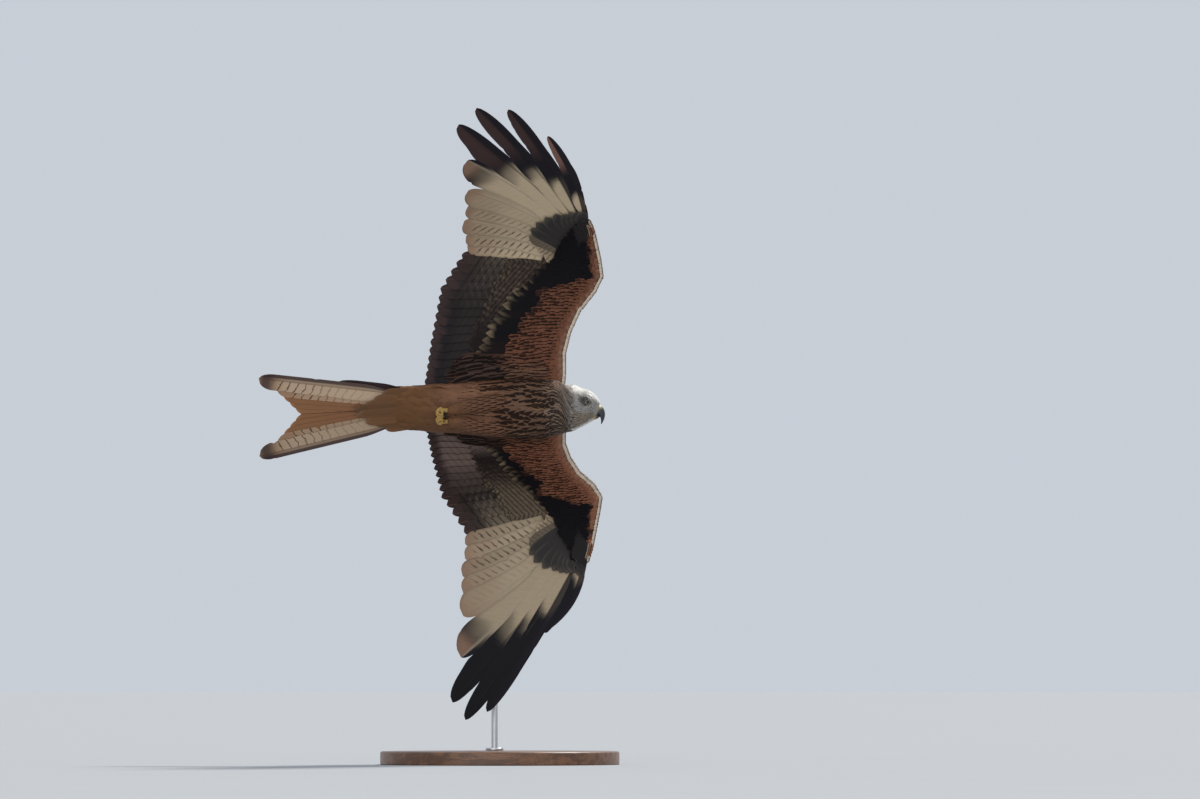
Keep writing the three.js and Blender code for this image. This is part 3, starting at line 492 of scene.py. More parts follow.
def makeFan(values):
    places = np.arange(armCount + handCount)
    arm = places < armCount
    hand = places - armCount
    x0, s0, stepX, stepS = wingSet["armRoot"]
    hx, hs, handX, handS = wingSet["handRoot"]
    turn = (places / (armCount - 1)) ** 1.5
    armAngle = wingSet["shoulderAngle"] + (values["wristAngle"] - wingSet["shoulderAngle"]) * turn
    handIndex = np.clip(hand, 0, handCount - 1)
    return {
        "side": values["side"],
        "places": places.astype(float),
        "x": np.where(arm, x0 + stepX * places, hx + handX * hand),
        "s": np.where(arm, s0 + stepS * places, hs + handS * hand),
        "angle": np.radians(np.where(arm, armAngle, np.array(values["angles"], float)[handIndex])),
        "length": np.where(
            arm, np.interp(places, wingSet["armPlaces"], wingSet["armLengths"]),
            np.array(values["lengths"], float)[handIndex]),
        "bow": np.where(arm, wingSet["armBow"], np.array(values["bows"])[handIndex]),
    }


def beyond(fan, key, q):
    # a value at a place of the fan, carried on past both ends
    values = fan[key]
    found = np.interp(q, fan["places"], values)
    found = found + np.minimum(q, 0) * (values[1] - values[0])
    return found + np.maximum(q - fan["places"][-1], 0) * (values[-1] - values[-2])


def shaftPoint(fan, q, u, v=0.0):
    angle = np.interp(q, fan["places"], fan["angle"])
    length = np.interp(q, fan["places"], fan["length"])
    t = np.clip(u / length, 0, 1)
    across = v + 4 * np.interp(q, fan["places"], fan["bow"]) * length * t * (1 - t)
    x = beyond(fan, "x", q) - u * np.cos(angle) + across * np.sin(angle)
    s = beyond(fan, "s", q) + u * np.sin(angle) + across * np.cos(angle)
    return x, s


def shaftSpacing(fan, q, u):
    beforeX, beforeS = shaftPoint(fan, q - 0.5, u)
    afterX, afterS = shaftPoint(fan, q + 0.5, u)
    angle = np.interp(q, fan["places"], fan["angle"])
    return np.maximum((afterX - beforeX) * np.sin(angle) + (afterS - beforeS) * np.cos(angle), 4)


def fanPlace(fan, near, x, s):
    q = near + 0 * x
    for _ in range(4):
        angle = np.interp(q, fan["places"], fan["angle"])
        u = (beyond(fan, "x", q) - x) * np.cos(angle) + (s - beyond(fan, "s", q)) * np.sin(angle)
        shaftX, shaftS = shaftPoint(fan, q, u)
        off = (x - shaftX) * np.sin(angle) + (s - shaftS) * np.cos(angle)
        q = q + off / shaftSpacing(fan, q, u)
    return q


# Colours of the plumage

tones = {name: tone(value) for name, value in {
    "finger": "15111a", "fingerEdge": "121524", "fingerWarm": "7a574c", "cream": "bdaa8d",
    "creamGrey": "94836c", "pinkBrown": "93745f", "secondary": "151013", "secondaryGrey": "3b312c",
    # the feather-tip tone on the next line is a painted highlight, where backlight catches the tips
    "innerGrey": "7a675f", "spot": "5a4c40", "spotPale": "7c7266", "rimHighlight": "94786a", "tipBrown": "3b2a29",
    "upperDark": "241b18", "upperBrown": "43301f", "buff": "8f7350", "black": "0e0b0f",
    "greyPatch": "343130", "fringe": "655d52", "paleTip": "7d6d57", "rufous": "714836",
    "rufousBright": "80543e", "streak": "1d1310", "belly": "694a38", "breast": "6d5343",
    "vent": "69492f", "tailOrange": "875f40", "tailGrey": "b39b82", "tailDark": "37292a",
    # the pale head tone on the next line is the head's own whitish colour, brightened as painted sunlight on
    # the crown
    "head": "98958f", "headPaleAndSunlit": "eae6df", "headStreak": "38363a", "mantle": "46301f",
    "neck": "7d6a5c", "axillar": "4a3730", "shaftPale": "a39783", "shaftDark": "151011",
    # the next line's first tone is painted sunlight, a warm glow; its second is a painted backlit highlight
    # for the wing's leading edge
    "paintedSunGlow": "b57b4c", "edge": "d2c3b0",
}.items()}


def remexTone(place, t, k, u, side, top):
    # place 1 to 10 for primaries, 0 down to -16 for the arm; k from -1 (inner edge) to 1 (outer edge)
    inner = k < 0
    wander = 0.03 * ripple(u * 0.11, k * 2.3 + place, place * 1.7)
    bars = np.zeros(t.shape)
    if place >= 1:
        darkFrom = (0.9, 0.92, 0.92, 0.92, 0.92, 0.80, 0.60, 0.49, 0.42, 0.34)[place - 1]
        fade = (0.05, 0.05, 0.05, 0.05, 0.06, 0.10, 0.09, 0.07, 0.06, 0.06)[place - 1]
        if top:
            base = blend("upperDark", "creamGrey", 0.22 * (1 - ease(t, 0.3, 0.6)) * inner)
            base = blend(base, "finger", ease(t, darkFrom - 0.25, darkFrom))
            bars = 0.45 * inner * (1 - ease(t, 0.6, 0.8)) * (place < 7)
            return blend(base, "fingerEdge", 0.5 * ease(k, 0.6, 1.0) * (place > 5)), bars
        base = blend("cream", "creamGrey", 0.2 * (place <= 3) + 0.2 * ease(t, 0.5, 0.9))
        # painted shade: the lower wing's window is darkened against the raised wing's, for how the light
        # falls on each
        base = base * (0.82 if side > 0 else 1)
        dark = "pinkBrown" if place <= 5 else "finger"
        edge = ease(t + wander + 0.05 * np.abs(k) * (place > 6), darkFrom - fade, darkFrom + fade)
        base = blend(base, dark, edge * (0.75 if place <= 5 else 1))
        if place == 6:
            base = blend(base, "pinkBrown", ease(t, 0.84, 0.94) * inner * 0.8)
        if place <= 5:
            base = blend(base, "pinkBrown", 0.35 * ease(t + 2 * wander, 0.5, 0.85))
        if place <= 6:
            # painted shade along each window feather's edges, where its neighbour overlaps it
            base = base * (1 - 0.28 * ease(-k, 0.8, 1.0) - 0.12 * ease(k, 0.5, 1.0))[..., None]
        if place > 6:
            base = blend(base, "fingerEdge", 0.8 * ease(np.abs(k), 0.72, 1.0) * edge)
            warm = (0.22 if place < 10 else 1.0) * (side < 0)
            base = blend(base, "fingerWarm", warm * edge * inner * ease(-k, 0.0, 0.2) * ease(t, 0.55, 0.75))
            base = base * (0.5 * edge + 1 - edge if side > 0 else 1 + 0 * edge)[..., None]
        if place >= 9:
            base = blend(base, "finger", 0.9 * ease(k, -0.1, 0.1))
        bars = (0.75, 0.8, 0.7, 0.45, 0.12, 0.05, 0, 0, 0, 0)[place - 1]
        bars = bars * ease(t, 0.25, 0.4) * (1 - ease(t, 0.86, 0.93)) * inner * ease(-k, 0.1, 0.25)
        return base, bars * (1 - 0.8 * ease(-k, 0.55, 0.8))
    nearWrist = np.clip(1 + place / 6, 0, 1)
    if top:
        base = blend("upperBrown", "upperDark", 0.75 + 0 * t)
        # painted backlit highlight on the upper face's tips
        base = blend(base, "rimHighlight", 0.5 * ease(t, 0.975, 0.995))
        return base, 0.35 * inner * np.ones(t.shape)
    base = blend("secondary", "secondaryGrey", nearWrist * 0.9 + 0 * t)
    base = blend(base, "secondaryGrey", 0.3 * ease(-k, 0.2, 0.6) * (1 - ease(t, 0.7, 0.9)))
    if side > 0:
        # the lower wing's inner feathers are paler, with long pale lines
        inmost = np.clip(-(place + 3) / 5, 0, 1)
        base = blend(base, "innerGrey", 0.75 * inmost * (1 - ease(t, 0.86, 0.96)))
    # the first feathers of the arm still carry some of the window's pale tone
    soft = (0.42 if side > 0 else 0.08) * max(1 + place / 3, 0) * (1 - ease(t, 0.66, 0.85))
    base = blend(base, "creamGrey", soft + 0 * k)
    row = np.sin(2 * math.pi * ((u + 3 * place) / primarySet["barLength"] + 0.5))
    dots = ease(row, 0.1, 0.9) * ease(-k, 0.05, 0.3) * (1 - ease(-k, 0.6, 0.85))
    dots = dots * ease(t, 0.3, 0.45) * (1 - ease(t, 0.72, 0.82))
    base = blend(base, "spotPale", (0.95 if side > 0 else 0.45) * nearWrist * dots)
    base = blend(base, "tipBrown", 0.8 * ease(t + wander, 0.86, 0.94))
    # a faint painted backlit highlight on the very tips
    base = blend(base, "rimHighlight", (0.05 + 0.12 * nearWrist) * ease(t, 0.98, 0.998))
    bars = (0.25 + 0.45 * nearWrist) * ease(t, 0.3, 0.45) * (1 - ease(t, 0.84, 0.9))
    return base, bars


primarySet = {
    # for each primary, from the innermost: widths of both vanes where the wing is closed and in the
    # fingers, where the fingers begin (past 1 for none) and where the tip starts to round
    "outer": (10, 10, 12, 14, 15, 15, 12, 13, 13, 12),
    "inner": (24, 24, 24, 24, 24, 24, 24, 22, 19, 14),
    "innerMost": (40, 40, 40, 40, 42, 48, 40, 26, 22, 14),
    "notch": (2, 2, 2, 2, 2, 2, 0.78, 0.62, 0.6, 0.6),
    "outerFinger": (10, 10, 12, 14, 15, 15, 12, 12, 12, 10),
    "innerFinger": (24, 24, 24, 24, 24, 24, 29, 22, 18, 12),
    "round": (0.88, 0.88, 0.88, 0.86, 0.82, 0.76, 0.8, 0.78, 0.76, 0.7),
    "armOuter": 10, "armInner": 24, "armRound": 0.86,
    "rows": 46, "barLength": 13.5, "splits": 3, "halfThick": 0.22, "shaft": 0.8, "ridge": 0.75,
}


def vaneShare(t, roundFrom):
    opening = 0.12 + 0.88 * ease(t, 0.02, 0.3)
    past = np.clip((t - roundFrom) / (1 - roundFrom), 0, 1)
    return opening * np.maximum(np.sqrt(1 - past * past), 0.05)


def splitEdge(rows, count, depth):
    # narrow gaps where the barbs have parted, as shares of the width
    share = np.ones(rows)
    for _ in range(count):
        at = int(draw.integers(int(rows * 0.3), rows - 5))
        share[at] -= depth * draw.uniform(0.3, 1)
    return share


def remexGrid(fan, q):
    rows = primarySet["rows"]
    t, k = quillGrid(rows)
    u = t * float(fan["length"][q])
    place = q - armCount + 1
    spacing = shaftSpacing(fan, q, u)
    if place >= 1:
        i = place - 1
        past = ease(t, primarySet["notch"][i] - 0.06, primarySet["notch"][i] + 0.1)
        closed = np.clip(spacing - 2, primarySet["inner"][i], primarySet["innerMost"][i])
        inner = closed * (1 - past) + primarySet["innerFinger"][i] * past
        outer = primarySet["outer"][i] * (1 - past) + primarySet["outerFinger"][i] * past
        share = vaneShare(t, primarySet["round"][i])
    else:
        inner, outer = primarySet["armInner"] + 0 * t, primarySet["armOuter"] + 0 * t
        share = vaneShare(t, primarySet["armRound"])
    depth = 0.16 if place < 5 else 0.06
    inner = np.minimum(inner * share, spacing * 2.5) * splitEdge(rows, primarySet["splits"], depth)
    outer = np.minimum(outer * share, spacing * 0.85) * splitEdge(rows, 1, 0.12)
    shaft = np.minimum(primarySet["shaft"] * (1 - 0.75 * t), 0.5 * outer)
    return t, u, k, quillWidths(k, inner, outer, shaft), place


def makeRemiges(values):
    fan = makeFan(values)
    stack = newStack()
    total = armCount + handCount
    for q in range(total):
        t, u, k, v, place = remexGrid(fan, q)
        rows, columns = v.shape
        uu, tt, kk = u[:, None] + 0 * v, t[:, None] + 0 * v, k + 0 * v
        x, s = shaftPoint(fan, q, uu, v)
        height = wingSet["pitch"] * (fanPlace(fan, q, x, s) - q) - wingSet["camber"] * uu ** 2
        half = rimless(rows, columns, primarySet["halfThick"])
        half[1:-1, 7] += primarySet["ridge"] * (1 - 0.8 * t[1:-1])
        phase = (uu - 0.55 * np.abs(v) + 3 * place) / primarySet["barLength"]
        own = draw.uniform(0.88, 1.12)
        tints, marks = [], []
        for top in (True, False):
            colour, bars = remexTone(place, tt, kk, uu, fan["side"], top)
            shaftTone = "shaftDark" if top or place > 6 else "shaftPale"
            fade = 1 if top or place > 5 else 1 - 0.85 * ease(t, 0.7, 0.9)[:, None]
            tints.append(colour * own)
            tints[-1][:, 6:9] = blend(tints[-1][:, 6:9], shaftTone, fade * np.full((rows, 3), 0.55))
            marks.append(np.stack([bars + 0 * tt, phase, 0 * tt], axis=-1))
        addBlade(stack, bent(fan["side"], x, s, height), wingNormal(fan["side"], s), half, tints, marks,
                 uu, v, q * 7.3, tt, kk, cellPatch(q, total, rows, columns))
    return stack, fan


tierSet = {
    # lift off the wing's middle surface, reach forward of the flight roots, outer and inner vane,
    # ends behind those roots along the arm and along the hand
    "underGreater": (-4.0, 8, 9, 17, (82, 96, 110, 104), (44, 68, 92, 100, 95, 84, 72, 62, 52, 44)),
    "underMedian": (-6.9, 30, 8, 13, (62, 58, 50, 26), (28, 30, 32, 34, 34, 32, 30, 28, 26, 24)),
    "upperGreater": (3.1, 8, 9, 17, (84, 92, 92, 88), (82, 84, 86, 88, 90, 92, 92, 88, 80, 62)),
    "upperMedian": (5.8, 30, 8, 13, (46, 50, 48, 42), (36, 36, 36, 36, 36, 34, 32, 30, 28, 26)),
    # in the photo the raised wing's black feathers lie further back
    "raisedLonger": (8, 20, 22, 4),
    "count": 30, "pitch": 0.8, "halfThick": 0.2, "rows": 12, "columns": 9, "round": 0.72, "fleshShare": 0.45,
}


def tierTone(name, q, x, s, t, k, side, chance):
    hand = q > armCount - 0.5
    j = q - armCount
    spread = ripple(x * 0.35, s * 0.35, q)
    bars = 0 * t
    if name.startswith("upper"):
        base = blend("upperDark", "upperBrown", 0.3 + 0.4 * ease(np.abs(k), 0.3, 1))
        base = base * (0.8 + 0.4 * chance)
        if name == "upperMedian" and not hand:
            edge = ease(np.abs(k) + 0.5 * t, 0.5, 1.3)
            base = blend(base, "buff", 0.2 + 0.4 * edge * (0.6 + 0.6 * chance))
        # painted backlit highlight on the tips
        return blend(base, "rimHighlight", (0.3 if hand else 0.55) * ease(t, 0.93, 0.99)), bars
    if name == "underGreater":
        if hand:
            pale = 1 - ease(j, 0.5, 2.8)
            base = blend("greyPatch", "creamGrey", pale + 0 * t)
            fringe = np.maximum(ease(np.abs(k), 0.7, 1.0) * ease(t, 0.5, 0.8),
                                ease(t + 0.03 * spread, 0.88, 0.98))
            base = blend(base, "fringe" if j > 1.5 else "cream", (0.5 if j > 1.5 else 0.9) * fringe)
            return base, 0.7 * pale * ease(t, 0.3, 0.5)
        near = ease(s, 90, 190)
        inmost = (1 - ease(s, 60, 110)) * (side > 0)
        base = blend("secondary", "secondaryGrey", 0.2 + 0.6 * near)
        base = blend(base, "innerGrey", 0.8 * inmost)
        base = blend(base, "spot", 0.75 * near * ease(spread + 0.2 * np.abs(k), 0.3, 0.75))
        base = blend(base, "creamGrey", (0.32 if side > 0 else 0.04) * ease(s, 150, 205))
        base = blend(base, "paleTip", (0.1 + 0.3 * near) * chance * ease(t, 0.94, 0.99))
        return base, (0.2 + 0.5 * near) * ease(t, 0.2, 0.4)
    if hand:
        base = blend("black", "greyPatch", 0.5 * ease(j, 4, 8) + 0 * t)
        return blend(base, "fringe", 0.3 * ease(t, 0.93, 0.99)), bars
    lobe = ease(s, 80, 96) * (1 - 0.7 * ease(s, 132, 140) * (1 - ease(s, 142, 150)))
    base = blend("secondary", "black", lobe)
    base = blend(base, "streak", 0.4 * (1 - lobe))
    tip = 0.95 * (0.15 + 0.85 * ease(s, 55, 85) * (1 - ease(s, 190, 215))) * (0.4 + 0.6 * chance)
    base = blend(base, "paleTip", tip * ease(t + 0.06 * spread, 0.84, 0.97))
    return base, bars


def closedVaneShare(t, roundFrom, root=0.35, tip=0.12):
    past = np.clip((t - roundFrom) / (1 - roundFrom), 0, 1)
    return (root + (1 - root) * ease(t, 0.0, 0.35)) * np.maximum(np.sqrt(1 - past * past), tip)


def rimless(rows, columns, half):
    thick = np.full((rows, columns), half)
    thick[0] = thick[-1] = 0
    thick[:, 0] = thick[:, -1] = 0
    return thick


def addTier(stack, fan, name, index, total):
    lift, forward, outerWide, innerWide, armEnds, handEnds = tierSet[name]
    side, face = fan["side"], np.sign(lift)
    rows, columns, count = (tierSet[key] for key in ("rows", "columns", "count"))
    t = np.linspace(0, 1, rows) ** 0.9
    k = np.linspace(-1, 1, columns)
    share = closedVaneShare(t, tierSet["round"])
    for i in range(count):
        q = i * (armCount + handCount - 1) / (count - 1)
        along = q / (armCount - 1) * 3
        if q > armCount - 1:
            end = np.interp(q - armCount, range(handCount), handEnds)
        else:
            end = np.interp(along, range(4), armEnds)
            if name == "underMedian" and side < 0:
                end = end + np.interp(along, range(4), tierSet["raisedLonger"])
        end = end * draw.uniform(0.95, 1.05)
        u = -forward + (end + forward) * t
        spacing = shaftSpacing(fan, q, u)
        inner = np.minimum(innerWide * share, spacing * 2.2) * draw.uniform(0.95, 1.05)
        outer = np.minimum(outerWide * share, spacing * 1.2)
        v = np.where(k < 0, k * inner[:, None], k * outer[:, None])
        uu, tt, kk = u[:, None] + 0 * v, t[:, None] + 0 * v, k + 0 * v
        x, s = shaftPoint(fan, q, uu, v)
        flesh = face * fleshLine("fleshThick", s) * tierSet["fleshShare"]
        rise = ease(tt, 0, 0.35)
        height = flesh * (1 - rise) + lift * rise - wingSet["camber"] * np.maximum(uu, 0) ** 2
        height = height + tierSet["pitch"] * (fanPlace(fan, q, x, s) - q) + face * 0.5 * (1 - kk ** 2)
        colour, bars = tierTone(name, q, x, s, tt, kk, side, draw.uniform())
        plain = blend(colour, "secondary", np.full(tt.shape, 0.6))
        marks = np.stack([bars + 0 * tt, (uu - 0.6 * np.abs(v) + 5 * q) / 9.0, 0 * tt], axis=-1)
        tints = (plain, colour) if face < 0 else (colour, plain)
        addBlade(stack, bent(side, x, s, height), wingNormal(side, s),
                 rimless(rows, columns, tierSet["halfThick"]), tints, (marks, marks), uu, v, q * 3.1, tt, kk,
                 cellPatch(index + i, total, rows, columns))
    return index + count


# Small coverts over the wing's flesh

smallSet = {
    "rowStep": 7.0, "sStep": 6.0, "length": 20.0, "half": 5.4,
    "halfThick": 0.14, "sunk": 2.0, "proud": 1.1,
    "rimLength": 6.5, "rimHalf": 2.8,           # the smallest, along the front edge
}
rootTones = []      # where the small feathers start and their colours, for the skin under them


def wingSurface(x, s, face):
    flesh = fleshHeight(x, s)
    floor = 7.6 if face < 0 else 6.4
    front = fleshLine("fleshFront", s)
    return np.maximum(flesh, floor * ease(front - x, 2, 45))


def scatterWing(fan):
    # rows from the leading edge back to the roots of the median coverts, finest in front
    places = []
    for column, s in enumerate(np.arange(-38, 337, smallSet["sStep"])):
        q = np.interp(s, fan["s"], fan["places"]) if s > 20 else (s - 20) / 13.85
        front = fleshLine("fleshFront", s)
        back = beyond(fan, "x", q) - 3 if s > 20 else np.interp(s, (-14, 20), (-34, -8))
        # on the arm each column runs the way its feathers point, so that their streaks make long lines
        lean = math.tan(0.8 * np.interp(q, fan["places"], fan["angle"])) * (1 - ease(s, 170, 230))
        x = front - (4.2 if column % 2 else 2.4)
        while x > back:
            depth = (front - x) / (front - back)
            places.append((x, s + lean * (front - x), q, depth))
            x -= smallSet["rowStep"] * (0.5 + 0.5 * ease(front - x, 0, 30))
        for step in (0.0, 0.5):
            edgeS = s + step * smallSet["sStep"]
            places.append((fleshLine("fleshFront", edgeS) + 0.4, edgeS, q, 0.0))
    places = np.array(places)
    jitter = ease(places[:, 3], 0.02, 0.2)
    places[:, 0] += draw.normal(0, 1.0, len(places)) * jitter
    places[:, 1] += draw.normal(0, 1.2, len(places)) * 0.45
    places = places[places[:, 1] > -14]
    return places


def smallCovertTone(x, s, depth, face, side, chance):
    # the front row along the leading edge takes a painted backlit highlight
    edge = depth == 0
    if face > 0:
        base = blend("mantle", "rufous", 0.35 + 0.4 * chance * (1 - depth))
        base = blend(base, "buff", 0.55 * ease(depth, 0.45, 0.9) * (s < 250) * chance)
        base = blend(base, "edge", 0.2 * edge)
        return base, (0.45 + 0.15 * chance) * ~edge
    s = s if side < 0 else s * 0.94
    border = np.interp(s, (60, 90, 110, 135, 150, 190, 204, 214, 245, 285, 305, 320, 336),
                       (-60, 10, 45, 58, 75, 108, 150, 184, 183, 175, 168, 166, 175))
    border = border + (15 if side > 0 else 9) * ease(s, 55, 90) * (1 - ease(s, 150, 190))
    lobes = 5 * ripple(x * 0.2, s * 0.2, 4) + 8 * ripple(x * 0.05, s * 0.11, 5) * (1 - ease(s, 190, 215))
    dark = ease(border - x + lobes, -3, 5)
    base = blend("rufous", "rufousBright", 0.2 + 0.6 * (1 - ease(depth, 0.0, 0.3)))
    base = blend(base, "streak", 0.2 * chance)
    base = blend(base * (1.24 if side > 0 else 0.86), "black", dark)
    # painted backlit highlight along the leading edge, fading over the next rows
    base = blend(base, "edge", np.maximum(0.9 * edge, 0.1 * (1 - ease(depth, 0.01, 0.07))))
    return base, (0.17 + 0.26 * chance) * (1 - dark) * ease(depth, 0.04, 0.26)


def addSmallCoverts(stack, fan, face):
    x0, s0, q, depth = scatterWing(fan).T
    n = len(x0)
    chance = draw.uniform(0, 1, n)
    size = 0.5 + 0.5 * ease(depth, 0.0, 0.5)
    length = (smallSet["length"] + chance * 6 + 4 * depth) * size
    half = (smallSet["half"] + 1.5 * depth) * (0.8 + 0.2 * size) * draw.uniform(0.9, 1.1, n)
    angle = np.interp(q, fan["places"], fan["angle"]) * (0.9 - 0.2 * (1 - depth)) + draw.normal(0, 0.06, n)
    length = np.where(depth == 0, smallSet["rimLength"], length)
    half = np.where(depth == 0, smallSet["rimHalf"], half)
    colour, streak = smallCovertTone(x0, s0, depth, face, fan["side"], chance)
    colour = colour * draw.uniform(0.86, 1.12, (n, 1))
    addSurfaceFeathers(stack, fan["side"], face, x0, s0, angle, length, half, colour, streak, chance,
                       smallSet["proud"] + 0.5 * chance)


def addSurfaceFeathers(stack, side, face, x0, s0, angle, length, half, colour, streak, chance, proud):
    # feathers laid along the skin of the wing, one value for each in every argument from x0 on
    t = np.array([0, 0.3, 0.62, 0.88, 1.0])
    share = closedVaneShare(t, 0.55, 0.6, 0.3)
    u, v, tt, kk = tuftGrid(t, share, length, half)
    rows, columns = u.shape[1:]
    turn = each(angle)
    x = each(x0) - u * np.cos(turn) + v * np.sin(turn)
    s = each(s0) + u * np.sin(turn) + v * np.cos(turn)
    rise = ease(tt, 0, 0.6)
    out = wingSurface(x, s, face) - smallSet["sunk"] * (1 - rise) + each(proud) * rise
    out = out - 0.9 * kk ** 2 * share[:, None]
    centre = bent(side, x, s, face * out)
    marks = np.stack([0 * tt, u / 9, each(streak) + 0 * tt], axis=-1)
    unwrapV = (s0 + 20) / 370 * 0.5 + (0.5 if face < 0 else 0)
    addBlades(stack, centre, wingNormal(side, s), rimless(rows, columns, smallSet["halfThick"]),
              [each(colour)] * 2, [marks] * 2, u, v, 9 * each(chance), tt, kk,
              tuftPatch((x0 + 80) / 290, unwrapV, rows, columns))
    rootTones.append((centre[:, 1, columns // 2], colour))


shoulderSet = {
    "rows": 9, "columns": 9, "fromX": 106.0, "stepX": -17.0, "fromS": 6.0, "stepS": 7.0,
    "length": (34.0, 60.0), "halfBelow": 5.2, "halfAbove": 6.5, "proud": 2.0,
}


def addShoulder(stack, fan, face):
    # long feathers that carry the body's plumage out over the root of the wing: flank below, scapulars above
    values = shoulderSet
    row, column = np.divmod(np.arange(values["rows"] * values["columns"]), values["columns"])
    n = len(row)
    chance = draw.uniform(0, 1, n)
    x0 = values["fromX"] + values["stepX"] * (row + 0.5 * (column % 2)) + draw.normal(0, 2.5, n)
    closer = 0.72 + 0.28 * ease(row, 0, 5)
    s0 = values["fromS"] + values["stepS"] * column * closer + draw.normal(0, 1.5, n)
    out = ease(s0, 22, 62)
    back = ease(-x0, -70, 30)
    if face < 0:
        base = blend("belly", "breast", 0.5 * (1 - back))
        base = blend(base, "rufous", 0.7 * out * (1 - back))
        base = blend(base, "axillar", (0.35 + 0.55 * out) * back)
        base = base * draw.uniform(0.62, 1.08, (n, 1)) * (1 - 0.6 * back * ease(s0, 14, 44))[:, None]
        x0 = x0 + draw.normal(0, 9, n) * back + 22 * back * ease(s0, 25, 62)
    else:
        base = blend("mantle", "rufous", 0.3 + 0.4 * chance)
        base = blend(base, "upperBrown", 0.5 * back * out) * draw.uniform(0.8, 1.15, (n, 1))
    streak = (0.34 + 0.2 * chance) * (0.75 + 0.35 * back) + (0.08 if face > 0 else 0)
    angle = np.radians(-3 + 5 * out - 5 * back + draw.normal(0, 3, n))
    short, long = values["length"]
    half = (values["halfBelow"] if face < 0 else values["halfAbove"]) + 1.4 * back
    length = short + (long - short) * back + 6 * chance
    proud = values["proud"] + 0.8 * chance + 1.2 * back
    addSurfaceFeathers(stack, fan["side"], face, x0, s0, angle, length, half, base, streak, chance, proud)


# Alula, axillaries and scapulars: longer feathers laid one by one

laidSet = {
    "rows": 12, "columns": 7, "halfThick": 0.2, "bow": 0.06, "total": 80,
    "alula": (96, 80, 64, 48),
    # x, s and length of the first axillary of each row, from the innermost row
    "axillaries": ((-14, 46, 62), (4, 34, 72), (26, 22, 76), (48, 10, 76), (70, 0, 72)),
    "axillariesEach": 7, "scapulars": 28,
}


def addLaid(stack, side, x0, s0, degrees, length, half, heights, colour, streak, index, total, face):
    rows, columns = laidSet["rows"], laidSet["columns"]
    u, v, tt, kk = laidGrid(rows, columns, 0.72, 0.4, length, half)
    angle = math.radians(degrees)
    across = v + laidSet["bow"] * length * 4 * tt * (1 - tt)
    x = x0 - u * math.cos(angle) + across * math.sin(angle)
    s = s0 + u * math.sin(angle) + across * math.cos(angle)
    height = heights[0] + (heights[1] - heights[0]) * ease(tt, 0, 0.4) + face * 0.8 * (1 - kk ** 2)
    marks = np.stack([0 * tt, (u - 0.5 * np.abs(v)) / 8, streak + 0 * tt], axis=-1)
    addBlade(stack, bent(side, x, s, height), wingNormal(side, s),
             rimless(rows, columns, laidSet["halfThick"]), [colour[None]] * 2, [marks] * 2, u, v, index,
             tt, kk, cellPatch(index, total, rows, columns))


def addLaidFeathers(stack, fan):
    side, total = fan["side"], laidSet["total"]
    index = 0
    for i, length in enumerate(laidSet["alula"]):
        stripe = tones["rufousBright" if i % 2 else "creamGrey"]
        addLaid(stack, side, 162 + 3.4 * i, 256 + 2 * i, 85, length, 7, (3, 7.0 + 1.1 * i),
                tones["upperDark"], 0, index, total, 1)
        addLaid(stack, side, 163 + 3.6 * i, 288 + 5 * i, 80, length * 0.62, 3.4, (-2, -5.5 - 0.6 * i),
                stripe, 0.25, index + 1, total, -1)
        index += 2
    for row, (rowX, rowS, length) in enumerate(laidSet["axillaries"]):
        for i in range(laidSet["axillariesEach"]):
            tint = blend("axillar", "streak", 0.6 * draw.uniform())
            x = rowX - 4 * i + draw.normal(0, 3)
            s = rowS - 1.5 * i + 9 * (i % 3) + draw.normal(0, 2)
            degrees = -5 + draw.normal(0, 3)
            addLaid(stack, side, x, s, degrees, length - 2 * i - 7 * (i % 3) + draw.normal(0, 8), 7,
                    (-6, -9.5 - 0.45 * row - 0.25 * i), tint, 0.3 + 0.25 * draw.uniform(), index, total, -1)
            index += 1
    for i in range(laidSet["scapulars"]):
        row, share = i // 14, (i % 14) / 13
        tint = blend("upperBrown", "mantle", draw.uniform()) * draw.uniform(0.8, 1.1)
        x = 60 - 74 * share - 16 * row + draw.normal(0, 4)
        s = 2 + 36 * share + 9 * row + draw.normal(0, 3)
        degrees = -6 + draw.normal(0, 3)
        addLaid(stack, side, x, s, degrees, 62 + 34 * share, 9.5, (6, 10.2 - 3.2 * share - 0.9 * row),
                tint, 0.3 + 0.12 * draw.uniform(), index, total, 1)
        index += 1
    return stack


# Body: rings from the root of the tail to the face

bodySet = {
    # torso: x, half width, height above and below the axis
    "rings": ((-218, 32, 3, 3.5), (-195, 38, 8, 10), (-170, 42, 17, 20), (-150, 42.5, 26, 30),
              (-125, 46, 33, 38), (-88, 46, 37, 43), (-42, 50, 42, 49), (8, 54, 45, 54),
              (52, 56, 45, 56), (86, 54, 43, 54), (108, 50, 40, 50)),
    # head, in its own frame: x, z, tilt, half width, half height
    "headRings": ((-22, -4.8, 0, 38, 42.3), (-12, -5, 2, 30, 37.6), (0, -5.8, 5, 24, 32.2),
                  (9, -8, 12, 19, 26.5), (18.5, -13.8, 23, 11.5, 17.6), (23.5, -15.5, 27, 8.6, 12.6)),
    "headPlace": (162.0, -3.0, 7.0), "headRoll": 55.0,
    "coatDepth": 2.6, "halfThick": 0.13,
}


def headToBird(points):
    roll = math.radians(bodySet["headRoll"])
    x, y, z = points[..., 0], points[..., 1], points[..., 2]
    px, py, pz = bodySet["headPlace"]
    return np.stack([x + px, y * math.cos(roll) - z * math.sin(roll) + py,
                     y * math.sin(roll) + z * math.cos(roll) + pz], axis=-1)


